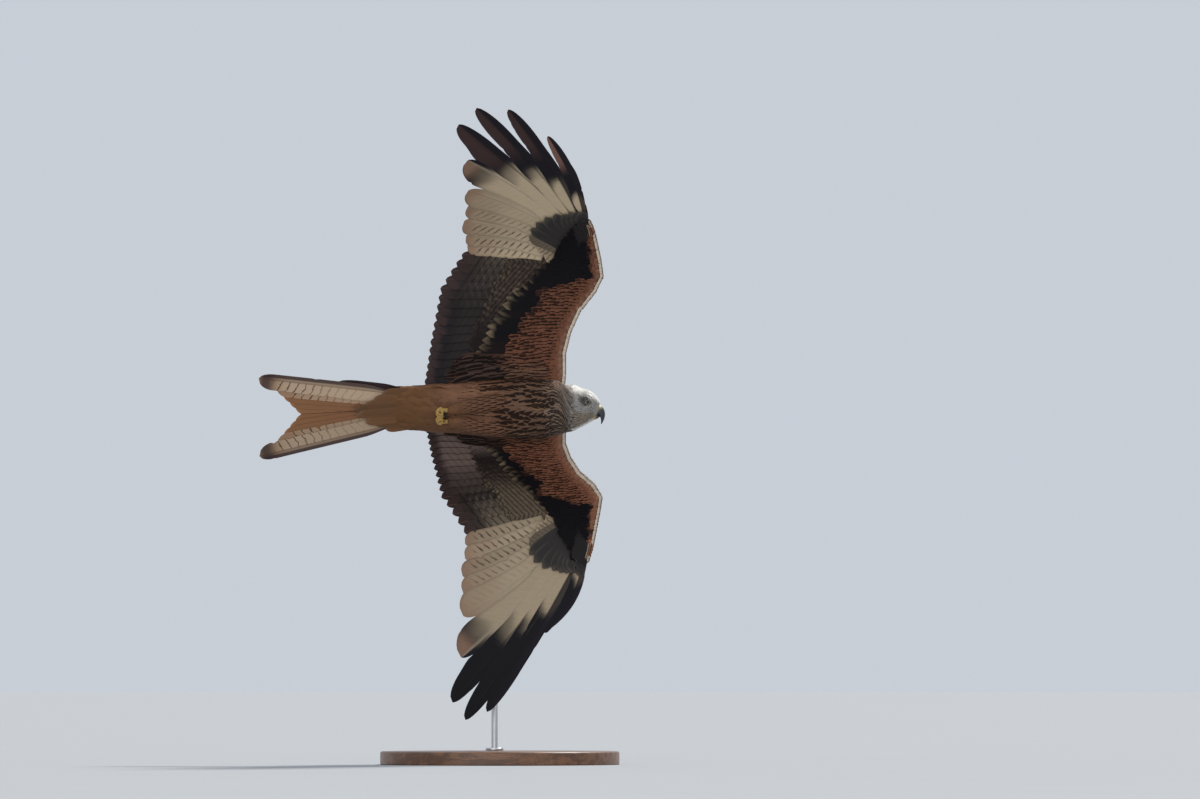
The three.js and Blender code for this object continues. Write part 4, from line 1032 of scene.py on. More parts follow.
def makeBodyTable():
    rows = [[x, 0, 0, 0, 1, 0, 0, 0, 1, w, above, below] for x, w, above, below in bodySet["rings"]]
    roll = math.radians(bodySet["headRoll"])
    heads = []
    for x, z, tilt, w, h in bodySet["headRings"]:
        lean = math.radians(tilt)
        centre = headToBird(np.array([x, 0.0, z]))
        c, s = math.cos(roll), math.sin(roll)
        sideways = np.array([0, c, s])
        upright = np.array([math.sin(lean), -math.cos(lean) * s, math.cos(lean) * c])
        heads.append([*centre, *sideways, *upright, w, h, h])
    front, nape = np.array(rows[-1], float), np.array(heads[0])
    for t in (0.25, 0.5, 0.75):
        turn = roll * ease(t, 0, 1)
        row = front * (1 - t) + nape * t
        row[3:6] = 0, math.cos(turn), math.sin(turn)
        row[6:9] = 0, -math.sin(turn), math.cos(turn)
        rows.append(list(row))
    table = np.array(rows + heads, float)
    place = np.concatenate([[0], np.cumsum(np.linalg.norm(np.diff(table[:, :3], axis=0), axis=1))])
    slope = np.gradient(table, place, axis=0)
    fine = np.linspace(0, place[-1], 500)
    i = np.clip(np.searchsorted(place, fine, side="right") - 1, 0, len(place) - 2)
    span = (place[i + 1] - place[i])[:, None]
    t = ((fine - place[i])[:, None]) / span
    smooth = ((2 * t ** 3 - 3 * t ** 2 + 1) * table[i] + (t ** 3 - 2 * t ** 2 + t) * span * slope[i]
              + (3 * t ** 2 - 2 * t ** 3) * table[i + 1] + (t ** 3 - t ** 2) * span * slope[i + 1])
    return fine, smooth, place


bodyAlong, bodyTable, bodyStations = makeBodyTable()
bodyLength = bodyAlong[-1]


def bodyRow(a):
    return [np.interp(a, bodyAlong, bodyTable[:, i]) for i in range(12)]


def bodyPoint(a, theta, lift=0.0):
    row = bodyRow(a)
    c, s = np.cos(theta), np.sin(theta)
    tall = np.where(s > 0, row[10], row[11])
    wide, high = c * (row[9] + lift), s * (tall + lift)
    return np.stack([row[i] + row[3 + i] * wide + row[6 + i] * high for i in range(3)], axis=-1)


def bodyNormal(a, theta):
    along = bodyPoint(a + 1, theta) - bodyPoint(a - 1, theta)
    around = bodyPoint(a, theta + 0.02) - bodyPoint(a, theta - 0.02)
    normal = np.cross(around, along)
    return normal / np.maximum(np.linalg.norm(normal, axis=-1, keepdims=True), 1e-9)


def bodyArc(a, theta):
    # millimetres for each radian round the ring
    row = bodyRow(a)
    tall = np.where(np.sin(theta) > 0, row[10], row[11])
    return np.sqrt((row[9] * np.sin(theta)) ** 2 + (tall * np.cos(theta)) ** 2)


def scatterBody(aFrom, aTo, stepA, stepArc):
    places = []
    ring = 0
    for a in np.arange(aFrom, aTo, stepA):
        row = bodyRow(a)
        circle = math.pi * (row[9] + (row[10] + row[11]) / 2)
        count = max(int(circle / stepArc), 6)
        theta = (np.arange(count) + 0.5 * (ring % 2)) / count * 2 * math.pi
        places.append(np.stack([a + draw.normal(0, 0.12 * stepA, count),
                                theta + draw.normal(0, 0.12 / count * 2 * math.pi, count)], axis=-1))
        ring += 1
    return np.concatenate(places)


lineSet = {"body": (32, 9.5), "neck": (48, 5.6), "wander": 0.5}       # lines round the body, step along each


def flowLines(aFrom, aTo, lines, step):
    # feathers in winding lines along the body, so that their dark streaks run on from one to the next
    places = []
    for line in range(lines):
        a = aFrom + (line * 0.618 % 1) * step
        while a < aTo:
            turn = 2 * math.pi * (line + lineSet["wander"] * ripple(a * 0.045, line * 2.9, 1)) / lines
            places.append((a, turn, line))
            a += step * draw.uniform(0.8, 1.2)
    return np.array(places)


def streakRun(a, line):
    # where a line's streak shows, 0 to 1
    return ease(ripple(a * 0.06 + line * 2.3, line * 4.1, 2), -0.9, -0.45)


def addBodyFeathers(stack, places, length, half, drift, lift, colour, streak,
                    sunk=2.4, cup=0.8, coarse=False):
    a0, theta0 = places.T
    t = np.array([0, 0.3, 0.62, 0.88, 1.0] if coarse else [0, 0.25, 0.5, 0.72, 0.87, 0.96, 1.0])
    share = closedVaneShare(t, 0.5, 0.5, 0.28)
    u, v, tt, kk = tuftGrid(t, share, length, half)
    rows, columns = u.shape[1:]
    turn = each(drift)
    a = np.clip(each(a0) - u * np.cos(turn) + v * np.sin(turn), -30, bodyLength)
    arc = u * np.sin(turn) + v * np.cos(turn)
    theta = each(theta0)
    theta = theta + arc / np.maximum(bodyArc(a, theta), 3)
    out = -bodySet["coatDepth"] + (bodySet["coatDepth"] + each(lift)) * ease(tt, 0.05, 0.75)
    out = out - sunk * (1 - ease(tt, 0, 0.3)) - cup * kk ** 2 * share[:, None]
    normal = bodyNormal(a, theta)
    centre = bodyPoint(a, theta) + normal * out[..., None]
    taper = 0.8 + 0.2 * ease(tt, 0.2, 0.6) + 0.25 * ease(tt, 0.8, 1.0)
    marks = np.stack([0 * tt, u / 6, each(streak) * taper], axis=-1)
    chance = each(draw.uniform(0, 40, len(a0)))
    addBlades(stack, centre, normal, rimless(rows, columns, bodySet["halfThick"]),
              [each(colour)] * 2, [marks] * 2, u, v, chance, tt, kk,
              tuftPatch(a0 / bodyLength, np.mod(theta0 / (2 * math.pi), 1), rows, columns))
    rootTones.append((centre[:, 1, columns // 2], colour))


def bodyTone(x, theta, chance, run):
    # theta is -90 degrees along the middle of the belly
    under = ease(-np.sin(theta), -0.35, 0.25)
    base = blend("belly", "breast", ease(x, 10, 80))
    base = base * (1 + 0.35 * ease(-np.cos(theta), 0.3, 0.9) * (1 - ease(x, 0, 60)))[..., None]
    base = blend(base, "neck", ease(x, 95, 135))
    base = blend(base, "vent", ease(-x, 55, 130))
    base = blend(base, "buff", 0.5 * (chance > 0.93) * ease(x, -20, 40) * (1 - ease(x, 90, 110)))
    back = blend("mantle", "rufous", 0.3 + 0.3 * chance)
    back = blend(back, "rufousBright", ease(-x, 70, 150))
    back = blend(back, "neck", 0.7 * ease(x, 90, 140))
    base = blend(back, base, under)
    begin = 24 + 27 * np.cos(theta)
    base = base * (1 - 0.12 * ease(x, 10, 60) * (1 - ease(x, 105, 130)))[..., None]
    streak = run * (0.44 + 0.22 * chance) * ease(x, begin - 22, begin + 12)
    streak = np.maximum(streak, 0.16 * chance * ease(x, -70, -30))
    return base, np.where(under > 0.5, streak, 0.48 * (0.7 + 0.6 * chance))


def makeBodyCoat(material):
    front = float(np.interp(120, bodyTable[:, 0], bodyAlong))
    lines, step = lineSet["body"]
    a, theta, line = flowLines(4, front, lines, step).T
    places = np.stack([a, theta], axis=-1)
    n = len(a)
    chance = np.clip(0.5 + 0.5 * ripple(line * 5.1, a * 0.03, 3) + draw.normal(0, 0.2, n), 0, 1)
    x = np.interp(a, bodyAlong, bodyTable[:, 0])
    colour, streak = bodyTone(x, theta, chance, streakRun(a, line))
    # the belly's feathers differ line by line, the breast's one by one
    plain = 1 - ease(x, -40, 20)
    spread = (0.14 - 0.06 * plain) * draw.uniform(-1, 1, n) + 0.15 * plain * ripple(line * 3.3, a * 0.02, 7)
    colour = colour * (1 + spread)[:, None]
    length = 34 - 10 * ease(x, 30, 120) + 3 * chance
    half = 0.84 * 2 * math.pi * bodyRow(a)[9] / lines
    drift = draw.normal(0, 0.07, n)
    lift = 0.8 + 1.0 * chance - 0.6 * ease(x, 100, 140)
    under = np.sin(theta) < 0
    for name, chosen in (("bellyCoat", under), ("backCoat", ~under)):
        stack = newStack()
        values = (places, length, half, drift, lift, colour, streak)
        addBodyFeathers(stack, *(value[chosen] for value in values))
        finishStack(stack, name, material, ("torso", "neck"))


# Legs, with their trousers

legSet = {
    # x, y, z, half width, half height
    "rings": ((30, 24, -34, 12, 9), (-8, 23, -41, 19, 14), (-52, 18, -43, 16, 12.5),
              (-84, 13, -45, 10.5, 8.5), (-98, 11, -46, 6.5, 5.8)),
    "long": 124.0, "rounds": 15, "feather": (26.0, 14.0), "half": (5.5, 3.5), "sunk": 3.2, "rise": 3.8,
}


def legPoint(side, along, theta):
    rings = np.array(legSet["rings"], float)
    x, y, z, w, h = (np.interp(along, np.linspace(0, 1, len(rings)), rings[:, i]) for i in range(5))
    return np.stack([x + 0 * theta, side * (y + np.cos(theta) * w), z + np.sin(theta) * h], axis=-1)


def makeTrousers(material):
    stack = newStack()
    t = np.array([0, 0.3, 0.62, 0.87, 1.0])
    share = closedVaneShare(t, 0.5, 0.5)
    widths = np.array(legSet["rings"])[:, 3]
    longest, shortest = legSet["feather"]
    wide, narrow = legSet["half"]
    for side in (1, -1):
        for ring, along in enumerate(np.linspace(0.06, 0.97, legSet["rounds"])):
            count = 13 if along < 0.8 else 9
            theta0 = (np.arange(count) + 0.5 * (ring % 2)) / count * 2 * math.pi
            length = (longest - (longest - shortest) * ease(along, 0.6, 1)) / legSet["long"]
            half = wide - (wide - narrow) * ease(along, 0.5, 1)
            u, v, tt, kk = tuftGrid(t, share, np.full(count, longest), np.full(count, half))
            reach = np.clip(along + tt * length, 0, 1.04)
            theta = each(theta0) + v / np.maximum(np.interp(reach, np.linspace(0, 1, 5), widths), 3)
            normal = np.stack([0 * theta, side * np.cos(theta), np.sin(theta)], axis=-1)
            out = -legSet["sunk"] + legSet["rise"] * ease(tt, 0.05, 0.8) - 0.5 * kk ** 2
            tint = blend("belly", "vent", np.full(count, ease(along, 0.3, 0.9)))
            tint = tint * draw.uniform(0.86, 1.14, (count, 1))
            marks = np.stack([0 * tt, u / 6, 0.3 * (1 - ease(along, 0.1, 0.7)) + 0 * tt], axis=-1)
            unwrapV = (theta0 / (2 * math.pi) % 1) * 0.48 + (0.5 if side > 0 else 0)
            addBlades(stack, legPoint(side, reach, theta) + normal * out[..., None], normal,
                      rimless(5, 5, bodySet["halfThick"]), [each(tint)] * 2, [marks] * 2, u, kk * half,
                      3.7 * ring, tt, kk, tuftPatch(along + 0 * theta0, unwrapV, 5, 5))
    finishStack(stack, "legFeathers", material, ("left_leg", "right_leg"))


# Tail

tailSet = {
    "rootX": -175.0, "rootY": 3.0, "rootStep": 4.6, "yaw": 3.4, "angle": 1.5, "angleStep": 1.8,
    "hollow": 0.0012, "lengths": (202, 211, 222, 234, 247, 282), "outer": (13, 13, 13, 13, 13, 11.5),
    "inner": (17, 20, 20, 20, 21, 21), "round": 0.9, "pitch": 1.2, "rows": 44,
    "halfThick": 0.22, "shaft": 0.8, "ridge": 0.7, "barLength": 15.5,
    # lengths from the middle outwards, and lift off the tail's middle surface
    "coverts": 13, "under": ((112, 108, 100, 92, 82, 72, 62), -4.6),
    "upper": ((100, 96, 90, 82, 74, 66, 58), 4.6),
    "covertX": -163.0, "covertStep": 5.0, "covertHalf": 9, "total": 39,
    # one feather of the right side is still growing
    "growing": {"y": 35, "length": 132, "angle": 10.5, "half": 8, "lift": 3.4},
}


def tailPoint(side, rootX, rootY, angle, u, v, height):
    x = rootX - u * np.cos(angle) + v * np.sin(angle)
    y = side * (rootY + u * np.sin(angle) + v * np.cos(angle))
    height = height - tailSet["hollow"] * y * y
    return np.stack([x, y - (x - tailSet["rootX"]) * math.sin(math.radians(tailSet["yaw"])), height], axis=-1)


def rectrixTone(place, t, k, top):
    orange = blend("tailOrange", "rufousBright", 0.25 * (1 - ease(t, 0.5, 0.9)))
    if top:
        base = orange
        if place == 5:
            base = blend(base, "tailDark", ease(k, -0.1, 0.15))
        base = blend(base, "tailDark", (0.9 if place >= 4 else 0.25) * ease(t, 0.84, 0.93))
        base = blend(base, "buff", 0.6 * ease(t, 0.97, 1.0))
        return base, 0.7 * (place >= 2) * ease(t, 0.3, 0.5) * np.ones(t.shape)
    base = blend(orange, "rufousBright", 0.15 * ease(k, 0, 1))
    bars = 0 * t
    if place >= 4:
        pale = (0.95 if place == 5 else 0.6) * (1 - 0.4 * ease(t, 0.78, 0.9))
        base = blend(base, "tailGrey", pale)
        bars = (0.5 + 0.9 * ease(t, 0.4, 0.75)) * ease(t, 0.22, 0.34) * ease(-k, -0.05, 0.1)
        base = blend(base, "tailDark", 0.85 * ease(t, 0.86, 0.94) * (place == 5) + 0 * t)
        bars = bars * (1 - ease(t, 0.86, 0.92))
    if place == 5:
        base = blend(base, "tailDark", 0.9 * ease(k, 0.15, 0.4))
    # the tail tips are painted light: a backlit highlight on the outer feathers, a sunlit glow on the inner
    # ones
    tip, tipFrom = ("rimHighlight", 0.975) if place >= 4 else ("paintedSunGlow", 0.93)
    return blend(base, tip, 0.7 * ease(t, tipFrom, 1.0)), bars


def addRectrix(stack, place, side, index):
    rows = tailSet["rows"]
    t, k = quillGrid(rows)
    angle, angleStep = (math.radians(tailSet[key]) for key in ("angle", "angleStep"))
    angle = angle + angleStep * place
    rootY = tailSet["rootY"] + tailSet["rootStep"] * place
    u = t * tailSet["lengths"][place]
    share = vaneShare(t, tailSet["round"])
    away = rootY + u * math.sin(angle)
    reach = 2 * away + 0.5 if place == 0 else away - 0.4
    inner = np.minimum(tailSet["inner"][place] * share, reach) * splitEdge(rows, 3, 0.14)
    outer = tailSet["outer"][place] * share * splitEdge(rows, 1, 0.1)
    v = quillWidths(k, inner, outer, tailSet["shaft"] * (1 - 0.75 * t))
    uu, tt, kk = u[:, None] + 0 * v, t[:, None] + 0 * v, k + 0 * v
    height = np.clip(v / (tailSet["rootStep"] + uu * math.sin(angleStep)), -2.7, 1.7) * tailSet["pitch"]
    if place == 0:
        # the middle pair lies flat, the left one on top
        height = np.where(v < 0, 0, height) + (1.3 * ease(tt, 0, 0.2) if side > 0 else 0)
    centre = tailPoint(side, tailSet["rootX"], rootY, angle, uu, v, height)
    normal = np.stack([0 * uu, 2 * tailSet["hollow"] * centre[..., 1], 1 + 0 * uu], axis=-1)
    half = rimless(rows, len(k), tailSet["halfThick"])
    half[1:-1, 7] += tailSet["ridge"] * (1 - 0.8 * t[1:-1])
    phase = (uu + 0.35 * v + 2 * ripple(uu * 0.05, v * 0.2, place)) / tailSet["barLength"]
    own = draw.uniform(0.95, 1.05) * (1 if place < 4 else 1.07 if side < 0 else 0.94)
    tints, marks = [], []
    for top in (True, False):
        colour, bars = rectrixTone(place, tt, kk, top)
        colour[:, 6:9] = blend(colour[:, 6:9], "mantle", np.full((rows, 3), 0.5))
        tints.append(colour * own)
        # the third mark below zero makes the bars thin
        marks.append(np.stack([bars, phase, -0.35 + 0 * tt], axis=-1))
    addBlade(stack, centre, normal, half, tints, marks, uu, v, 11 * place + side, tt, kk,
             cellPatch(index, tailSet["total"], rows, len(k)))


def makeTail():
    stack = newStack()
    index = 0
    for place in range(6):
        for side in (1, -1):
            addRectrix(stack, place, side, index)
            index += 1
    middle = (tailSet["coverts"] - 1) / 2
    for (lengths, lift), tint, streak in ((tailSet["under"], "vent", 0), (tailSet["upper"], "rufous", 0.3)):
        for i in range(tailSet["coverts"]):
            away = abs(i - middle)
            side = -1 if i < middle else 1
            layer = 0.9 * (tailSet["coverts"] / 2 - away + (0.5 if side < 0 else 0))
            rootX = tailSet["covertX"] + 2.5 * away * draw.uniform(0.6, 1.4)
            degrees = 1.0 * away + draw.normal(0, 0.8)
            length = lengths[int(away)] * draw.uniform(0.9, 1.1)
            colour = blend(tint, "tailOrange", draw.uniform(0, 0.4)) * draw.uniform(0.72, 0.95)
            face = np.sign(lift)
            addTailLaid(stack, side, rootX, tailSet["covertStep"] * away, degrees, length,
                        tailSet["covertHalf"], (face * 7, lift + face * layer), colour, index, streak=streak)
            index += 1
    grown = tailSet["growing"]
    addTailLaid(stack, -1, tailSet["rootX"], grown["y"], grown["angle"], grown["length"], grown["half"],
                (0, grown["lift"]), tones["tailDark"], index, tip=0.9)
    return stack


def addTailLaid(stack, side, rootX, rootY, degrees, length, half, heights, colour, index,
                tip=0.25, streak=0.0):
    rows, columns = 16, 9
    u, v, tt, kk = laidGrid(rows, columns, 0.7, 0.5, length, half)
    lift = heights[0] + (heights[1] - heights[0]) * ease(tt, 0, 0.4) + np.sign(heights[1]) * (1 - kk ** 2)
    centre = tailPoint(side, rootX, rootY, math.radians(degrees), u, v, lift)
    normal = np.zeros_like(centre)
    normal[..., 2] = 1
    # the tip tone is a painted backlit highlight
    tint = blend(colour + 0 * tt[..., None], "rimHighlight", tip * ease(tt, 0.9, 1))
    marks = np.stack([0 * tt, u / 9, streak + 0 * tt], axis=-1)
    addBlade(stack, centre, normal, rimless(rows, columns, 0.2), [tint] * 2, [marks] * 2, u, v, index, tt, kk,
             cellPatch(index, tailSet["total"], rows, columns))


# Solid pieces, made from rings joined in turn

def ringLoop(bm, points):
    made = bmesh.ops.create_circle(bm, cap_ends=False, segments=len(points), radius=1)
    for vert, point in zip(made["verts"], points):
        vert.co = point
    return list({edge for vert in made["verts"] for edge in vert.link_edges})


def ringTube(bm, rings, place=toWorld):
    loops = [ringLoop(bm, [Vector(point) for point in place(np.asarray(ring))]) for ring in rings]
    for before, after in zip(loops, loops[1:]):
        bmesh.ops.bridge_loops(bm, edges=before + after)
    for ends in (loops[0], loops[-1]):
        bmesh.ops.contextual_create(bm, geom=ends)


def spinRound(bm, outline, steps):
    # a full turn about Z
    bmesh.ops.spin(bm, geom=outline, cent=(0, 0, 0), axis=(0, 0, 1), dvec=(0, 0, 0), angle=2 * math.pi,
                   steps=steps, use_merge=True, use_normal_flip=False, use_duplicate=False)


def turns(sides):
    return np.arange(sides) / sides * 2 * math.pi


def finishPiece(bm, name, material, nodes=(), sharp=None):
    bmesh.ops.remove_doubles(bm, verts=bm.verts[:], dist=1e-6)
    bmesh.ops.recalc_face_normals(bm, faces=bm.faces[:])
    mesh = bpy.data.meshes.new(name)
    bm.to_mesh(mesh)
    bm.free()
    mesh.shade_smooth()
    if sharp:
        mesh.set_sharp_from_angle(angle=math.radians(sharp))
    return placePiece(mesh, name, material, nodes)


def applyModifier(piece, kind, **values):
    modifier = piece.modifiers.new(kind.lower(), kind)
    for key, value in values.items():
        setattr(modifier, key, value)
    graph = bpy.context.evaluated_depsgraph_get()
    shaped = bpy.data.meshes.new_from_object(piece.evaluated_get(graph))
    piece.modifiers.remove(modifier)
    old, name = piece.data, piece.data.name
    piece.data = shaped
    bpy.data.meshes.remove(old)
    shaped.name = name


def ovalRing(centre, sideways, upright, width, height, sides=24):
    turn = turns(sides)
    return (np.asarray(centre) + np.asarray(sideways) * (np.cos(turn) * width)[:, None]
            + np.asarray(upright) * (np.sin(turn) * height)[:, None])


skinSet = {
    "voxel": 0.0023, "roundBody": 40, "roundWing": 20, "alongBody": 46, "alongWing": 36,
    "inset": 1.0,       # of the wings' flesh under their small coverts
    "shade": 0.75,      # against the colour of the feathers' roots
}


def makeSkin(material):
    # one skin under all the feathers, fused by the remesh from tubes for the body, wings and legs
    bm = bmesh.new()
    turn = turns(skinSet["roundBody"])
    ringTube(bm, [bodyPoint(a, turn, -bodySet["coatDepth"] if a < bodyLength - 12 else -1.2)
                  for a in np.linspace(2, bodyLength - 1, skinSet["alongBody"])])
    turn = turns(skinSet["roundWing"])
    chord = (1 + np.cos(turn)) / 2
    for values in wingSides.values():
        rings = []
        for s in np.linspace(-10, 332, skinSet["alongWing"]):
            front, back, thick = (fleshLine(key, s)
                                  for key in ("fleshFront", "fleshBack", "fleshThick"))
            high = np.maximum(thick * (0.55 + 0.45 * ease(chord, 0, 0.6)) - skinSet["inset"], 2.0)
            x = back + (front - skinSet["inset"] - back) * chord
            rings.append(bent(values["side"], x, s + 0 * turn, np.sin(turn) * high))
        ringTube(bm, rings)
    for side in (1, -1):
        ringTube(bm, [ovalRing((x, side * y, z), (0, 1, 0), (0, 0, 1), w - 1.5, h - 1.5)
                      for x, y, z, w, h in legSet["rings"]])
    skin = finishPiece(bm, "skin", material,
                       ("torso", "neck", "head", "tail", "left_leg", "right_leg", "left_wing_arm",
                        "left_wing_hand", "right_wing_arm", "right_wing_hand"))
    applyModifier(skin, "REMESH", mode="VOXEL", voxel_size=skinSet["voxel"], use_smooth_shade=True)
    applyModifier(skin, "SMOOTH", factor=0.5, iterations=4)
    return skin


def tintSkin(skin):
    # the skin takes the colour of the nearest feather's root
    roots, shades = (np.concatenate(part) for part in zip(*rootTones))
    tree = KDTree(len(roots))
    for i, root in enumerate(toWorld(roots)):
        tree.insert(root, i)
    tree.balance()
    mesh = skin.data
    colour = np.ones((len(mesh.vertices), 4))
    for i, vert in enumerate(mesh.vertices):
        colour[i, :3] = shades[tree.find(vert.co)[1]] * skinSet["shade"]
    mesh.attributes.new("colour", "FLOAT_COLOR", "POINT").data.foreach_set("color", colour.ravel())


# Head

headSet = {
    "eye": (2.3, 17.0, 0.0), "eyeRadius": 7.2,
    "lidRing": 5.9, "lidThick": 0.8, "lidUpper": 0.8, "lidLower": 0.9, "lidTones": ("3a3936", "201f20"),
    # tones from the middle of the eye outwards
    "irisTones": ((0.0, "040404"), (0.42, "050505"), (0.45, "5f5745"), (0.55, "968b6e"), (0.66, "7b7058"),
                  (0.73, "201c18"), (1.0, "141210")),
    "rowStep": 2.3, "tuftStep": 2.7, "tuftLength": 9.5, "tuftHalf": 2.1, "bare": 6.9, "round": 28,
    "nostril": (24.0, 7.3, -8.6), "nostrilRadius": 1.6, "nostrilTones": ("0b0a0a", "0b0a0a"),
    # yellow skin at the base, then horn; where each starts and ends in the head's own frame
    "billTones": ((0.0, "b08c4e"), (0.3, "9c8052"), (0.42, "4a4642"), (0.6, "24262b"), (1.0, "15161a")),
    "billRun": ((21.5, 0.0, -9.0), (29.0, 0.0, -16.0)),
    "mandibleRun": ((14.5, 0.0, -24.0), (26.0, 0.0, -22.0)),
    # rings: x, z, tilt, half width, half height
    "bill": ((14.5, -9.5, 20, 9.0, 13.5), (18, -10.0, 22, 9.0, 13.2), (21, -10.5, 25, 8.8, 12.8),
             (24, -12.2, 33, 8.2, 11.6), (26.6, -14.3, 42, 7.3, 10.2), (28.8, -17.2, 54, 6.3, 8.2),
             (29.8, -20.5, 68, 5.4, 6.4), (30.3, -24.5, 84, 4.2, 4.7), (30.0, -28.5, 97, 3.0, 3.3),
             (29.2, -32.5, 107, 1.9, 2.1), (28.4, -35.6, 111, 0.9, 1.0), (28.0, -37.0, 112, 0.25, 0.3)),
    "mandible": ((6, -24.4, 28, 8.6, 3.9), (10, -24.7, 24, 8.1, 4.2), (14.4, -24.4, 16, 7.2, 4.4),
                 (18, -23.3, 2, 6.0, 4.2), (21.5, -22.2, -8, 4.4, 3.4), (24.4, -21.4, -12, 2.6, 2.0),
                 (26.0, -20.9, -14, 1.0, 0.8)),
}


def headRing(x, z, tilt, width, height, billShaped=False):
    turn = turns(headSet["round"])
    lean = math.radians(tilt)
    c, s = np.cos(turn), np.sin(turn)
    wide, high = c * width, s * height
    if billShaped:
        # narrower along the ridge, flatter below
        wide = wide * (1 - 0.38 * np.clip(s, 0, 1) ** 1.5)
        high = np.where(s < 0, high * (0.62 + 0.25 * np.abs(c)), high)
    return headToBird(np.stack([x + high * math.sin(lean), wide, z + high * math.cos(lean)], axis=-1))


def headVector(x, y, z):
    return Vector(toWorld(headToBird(np.array((x, y, z), float))))


def makeBill():
    for name, key, node in (("billUpper", "bill", "bill_upper"), ("billLower", "mandible", "bill_lower")):
        bm = bmesh.new()
        ringTube(bm, [headRing(*values, billShaped=key == "bill") for values in headSet[key]])
        finish = makeBillFinish(key + "Finish", *headSet[key + "Run"])
        piece = finishPiece(bm, name, finish, (node,), sharp=50)
        applyModifier(piece, "SUBSURF", levels=1, render_levels=1)
    nostrilFinish = makeHorn("nostrilFinish", *headSet["nostrilTones"])
    x, y, z = headSet["nostril"]
    lean = Matrix.Rotation(math.radians(bodySet["headRoll"] - placing["bank"]), 4, "X")
    lean = lean @ Matrix.Rotation(math.radians(35), 4, "Y") @ Matrix.Diagonal((1.25, 0.5, 0.7, 1))
    for side, label in ((1, "Left"), (-1, "Right")):
        bm = bmesh.new()
        bmesh.ops.create_uvsphere(bm, u_segments=20, v_segments=12, radius=headSet["nostrilRadius"] / 1000)
        bmesh.ops.transform(bm, matrix=Matrix.Translation(headVector(x, side * y, z)) @ lean, verts=bm.verts)
        finishPiece(bm, "nostril" + label, nostrilFinish)


def makeHorn(name, near, far):
    n = Nodes(name)
    blotch = n.noise(n.place(), 420.0, 4.0)
    growth = n.add("ShaderNodeTexWave", {"wave_type": "BANDS", "bands_direction": "X"}, Vector=n.place(),
                   Scale=160.0, Distortion=6.0, Detail=2.0).outputs["Fac"]
    colour = n.mix(blotch, (*tone(near), 1), (*tone(far), 1))
    n.bump(n.math("MULTIPLY_ADD", growth, 0.4, n.math("MULTIPLY", blotch, 0.6)), 0.00015, 0.6)
    return n.finish(Base_Color=colour, Roughness=0.34, Specular_IOR_Level=0.5, Coat_Weight=0.2,
                    Coat_Roughness=0.25)


def makeBillFinish(name, base, tip):
    # coloured along the way from base to tip
    n = Nodes(name)
    base, tip = headVector(*base), headVector(*tip)
    axis = (tip - base).normalized()
    along = n.dot(n.vector("SUBTRACT", n.place(), tuple(base)), tuple(axis))
    blotch = n.noise(n.place(), 500.0, 3.0)
    shifted = n.math("ADD", along, n.math("MULTIPLY_ADD", blotch, 0.003, -0.0015))
    n.bump(blotch, 0.0002, 0.5)
    return n.finish(Base_Color=n.ramp(n.span(shifted, -0.004, 0.016), headSet["billTones"]), Roughness=0.36,
                    Specular_IOR_Level=0.5, Coat_Weight=0.2, Coat_Roughness=0.25)


def makeEyeFinish(side):
    n = Nodes("irisLeft" if side > 0 else "irisRight")
    x, y, z = headSet["eye"]
    middle = headVector(x, side * y, z)
    outward = (headVector(x + 0.5, side * (y + 7.0), z - 0.4) - middle).normalized()
    offset = n.vector("SUBTRACT", n.place(), tuple(middle))
    whole = n.add("ShaderNodeVectorMath", {"operation": "LENGTH"}, i0=offset).outputs["Value"]
    ratio = n.math("DIVIDE", n.dot(offset, tuple(outward)), n.math("MAXIMUM", whole, 1e-5))
    across = n.math("SQRT", n.math("SUBTRACT", 1.0, n.math("MULTIPLY", ratio, ratio)))
    rays = n.noise(n.vector("MULTIPLY", offset, (900.0, 900.0, 900.0)), 1.0, 2.0)
    place = n.math("ADD", across, n.math("MULTIPLY_ADD", rays, 0.04, -0.02))
    return n.finish(Base_Color=n.ramp(place, headSet["irisTones"]), Roughness=0.1, Specular_IOR_Level=0.35,
                    Coat_Weight=0.15, Coat_Roughness=0.03)


def makeEyes():
    lidFinish = makeHorn("lidFinish", *headSet["lidTones"])
    ball = headSet["eyeRadius"] / 1000
    for side, label in ((1, "Left"), (-1, "Right")):
        x, y, z = headSet["eye"]
        middle = headVector(x, side * y, z)
        outward = (headVector(x, side * (y + 1), z) - middle).normalized()
        upward = (headVector(x, side * y, z + 1) - middle).normalized()
        turn = Matrix((upward.cross(outward), upward, outward)).transposed().to_4x4()
        bm = bmesh.new()
        bmesh.ops.create_uvsphere(bm, u_segments=40, v_segments=24, radius=ball)
        bmesh.ops.transform(bm, matrix=Matrix.Translation(middle) @ turn, verts=bm.verts)
        finishPiece(bm, "eye" + label, makeEyeFinish(side), (f"eye_{label.lower()}",))
        bm = bmesh.new()
        thick = headSet["lidThick"] / 1000
        bmesh.ops.create_circle(bm, cap_ends=False, segments=12, radius=thick)
        bmesh.ops.transform(bm, matrix=Matrix.Translation((headSet["lidRing"] / 1000, 0, 0))
                            @ Matrix.Rotation(math.radians(90), 4, "X"), verts=bm.verts)
        spinRound(bm, bm.verts[:] + bm.edges[:], 48)
        for vert in bm.verts:
            # drawn in above and below to an oval that lies on the ball
            vert.co.y *= headSet["lidUpper"] if vert.co.y > 0 else headSet["lidLower"]
            reach = math.hypot(vert.co.x, vert.co.y)
            share = min(reach, 0.95 * ball) / ball
            vert.co.z += ball * math.sqrt(1 - share * share) + 0.0002
        bmesh.ops.transform(bm, matrix=Matrix.Translation(middle) @ turn, verts=bm.verts)
        finishPiece(bm, "lid" + label, lidFinish)


def headFromBird(points):
    roll = math.radians(bodySet["headRoll"])
    px, py, pz = bodySet["headPlace"]
    y, z = points[..., 1] - py, points[..., 2] - pz
    return np.stack([points[..., 0] - px, y * math.cos(roll) + z * math.sin(roll),
                     -y * math.sin(roll) + z * math.cos(roll)], axis=-1)


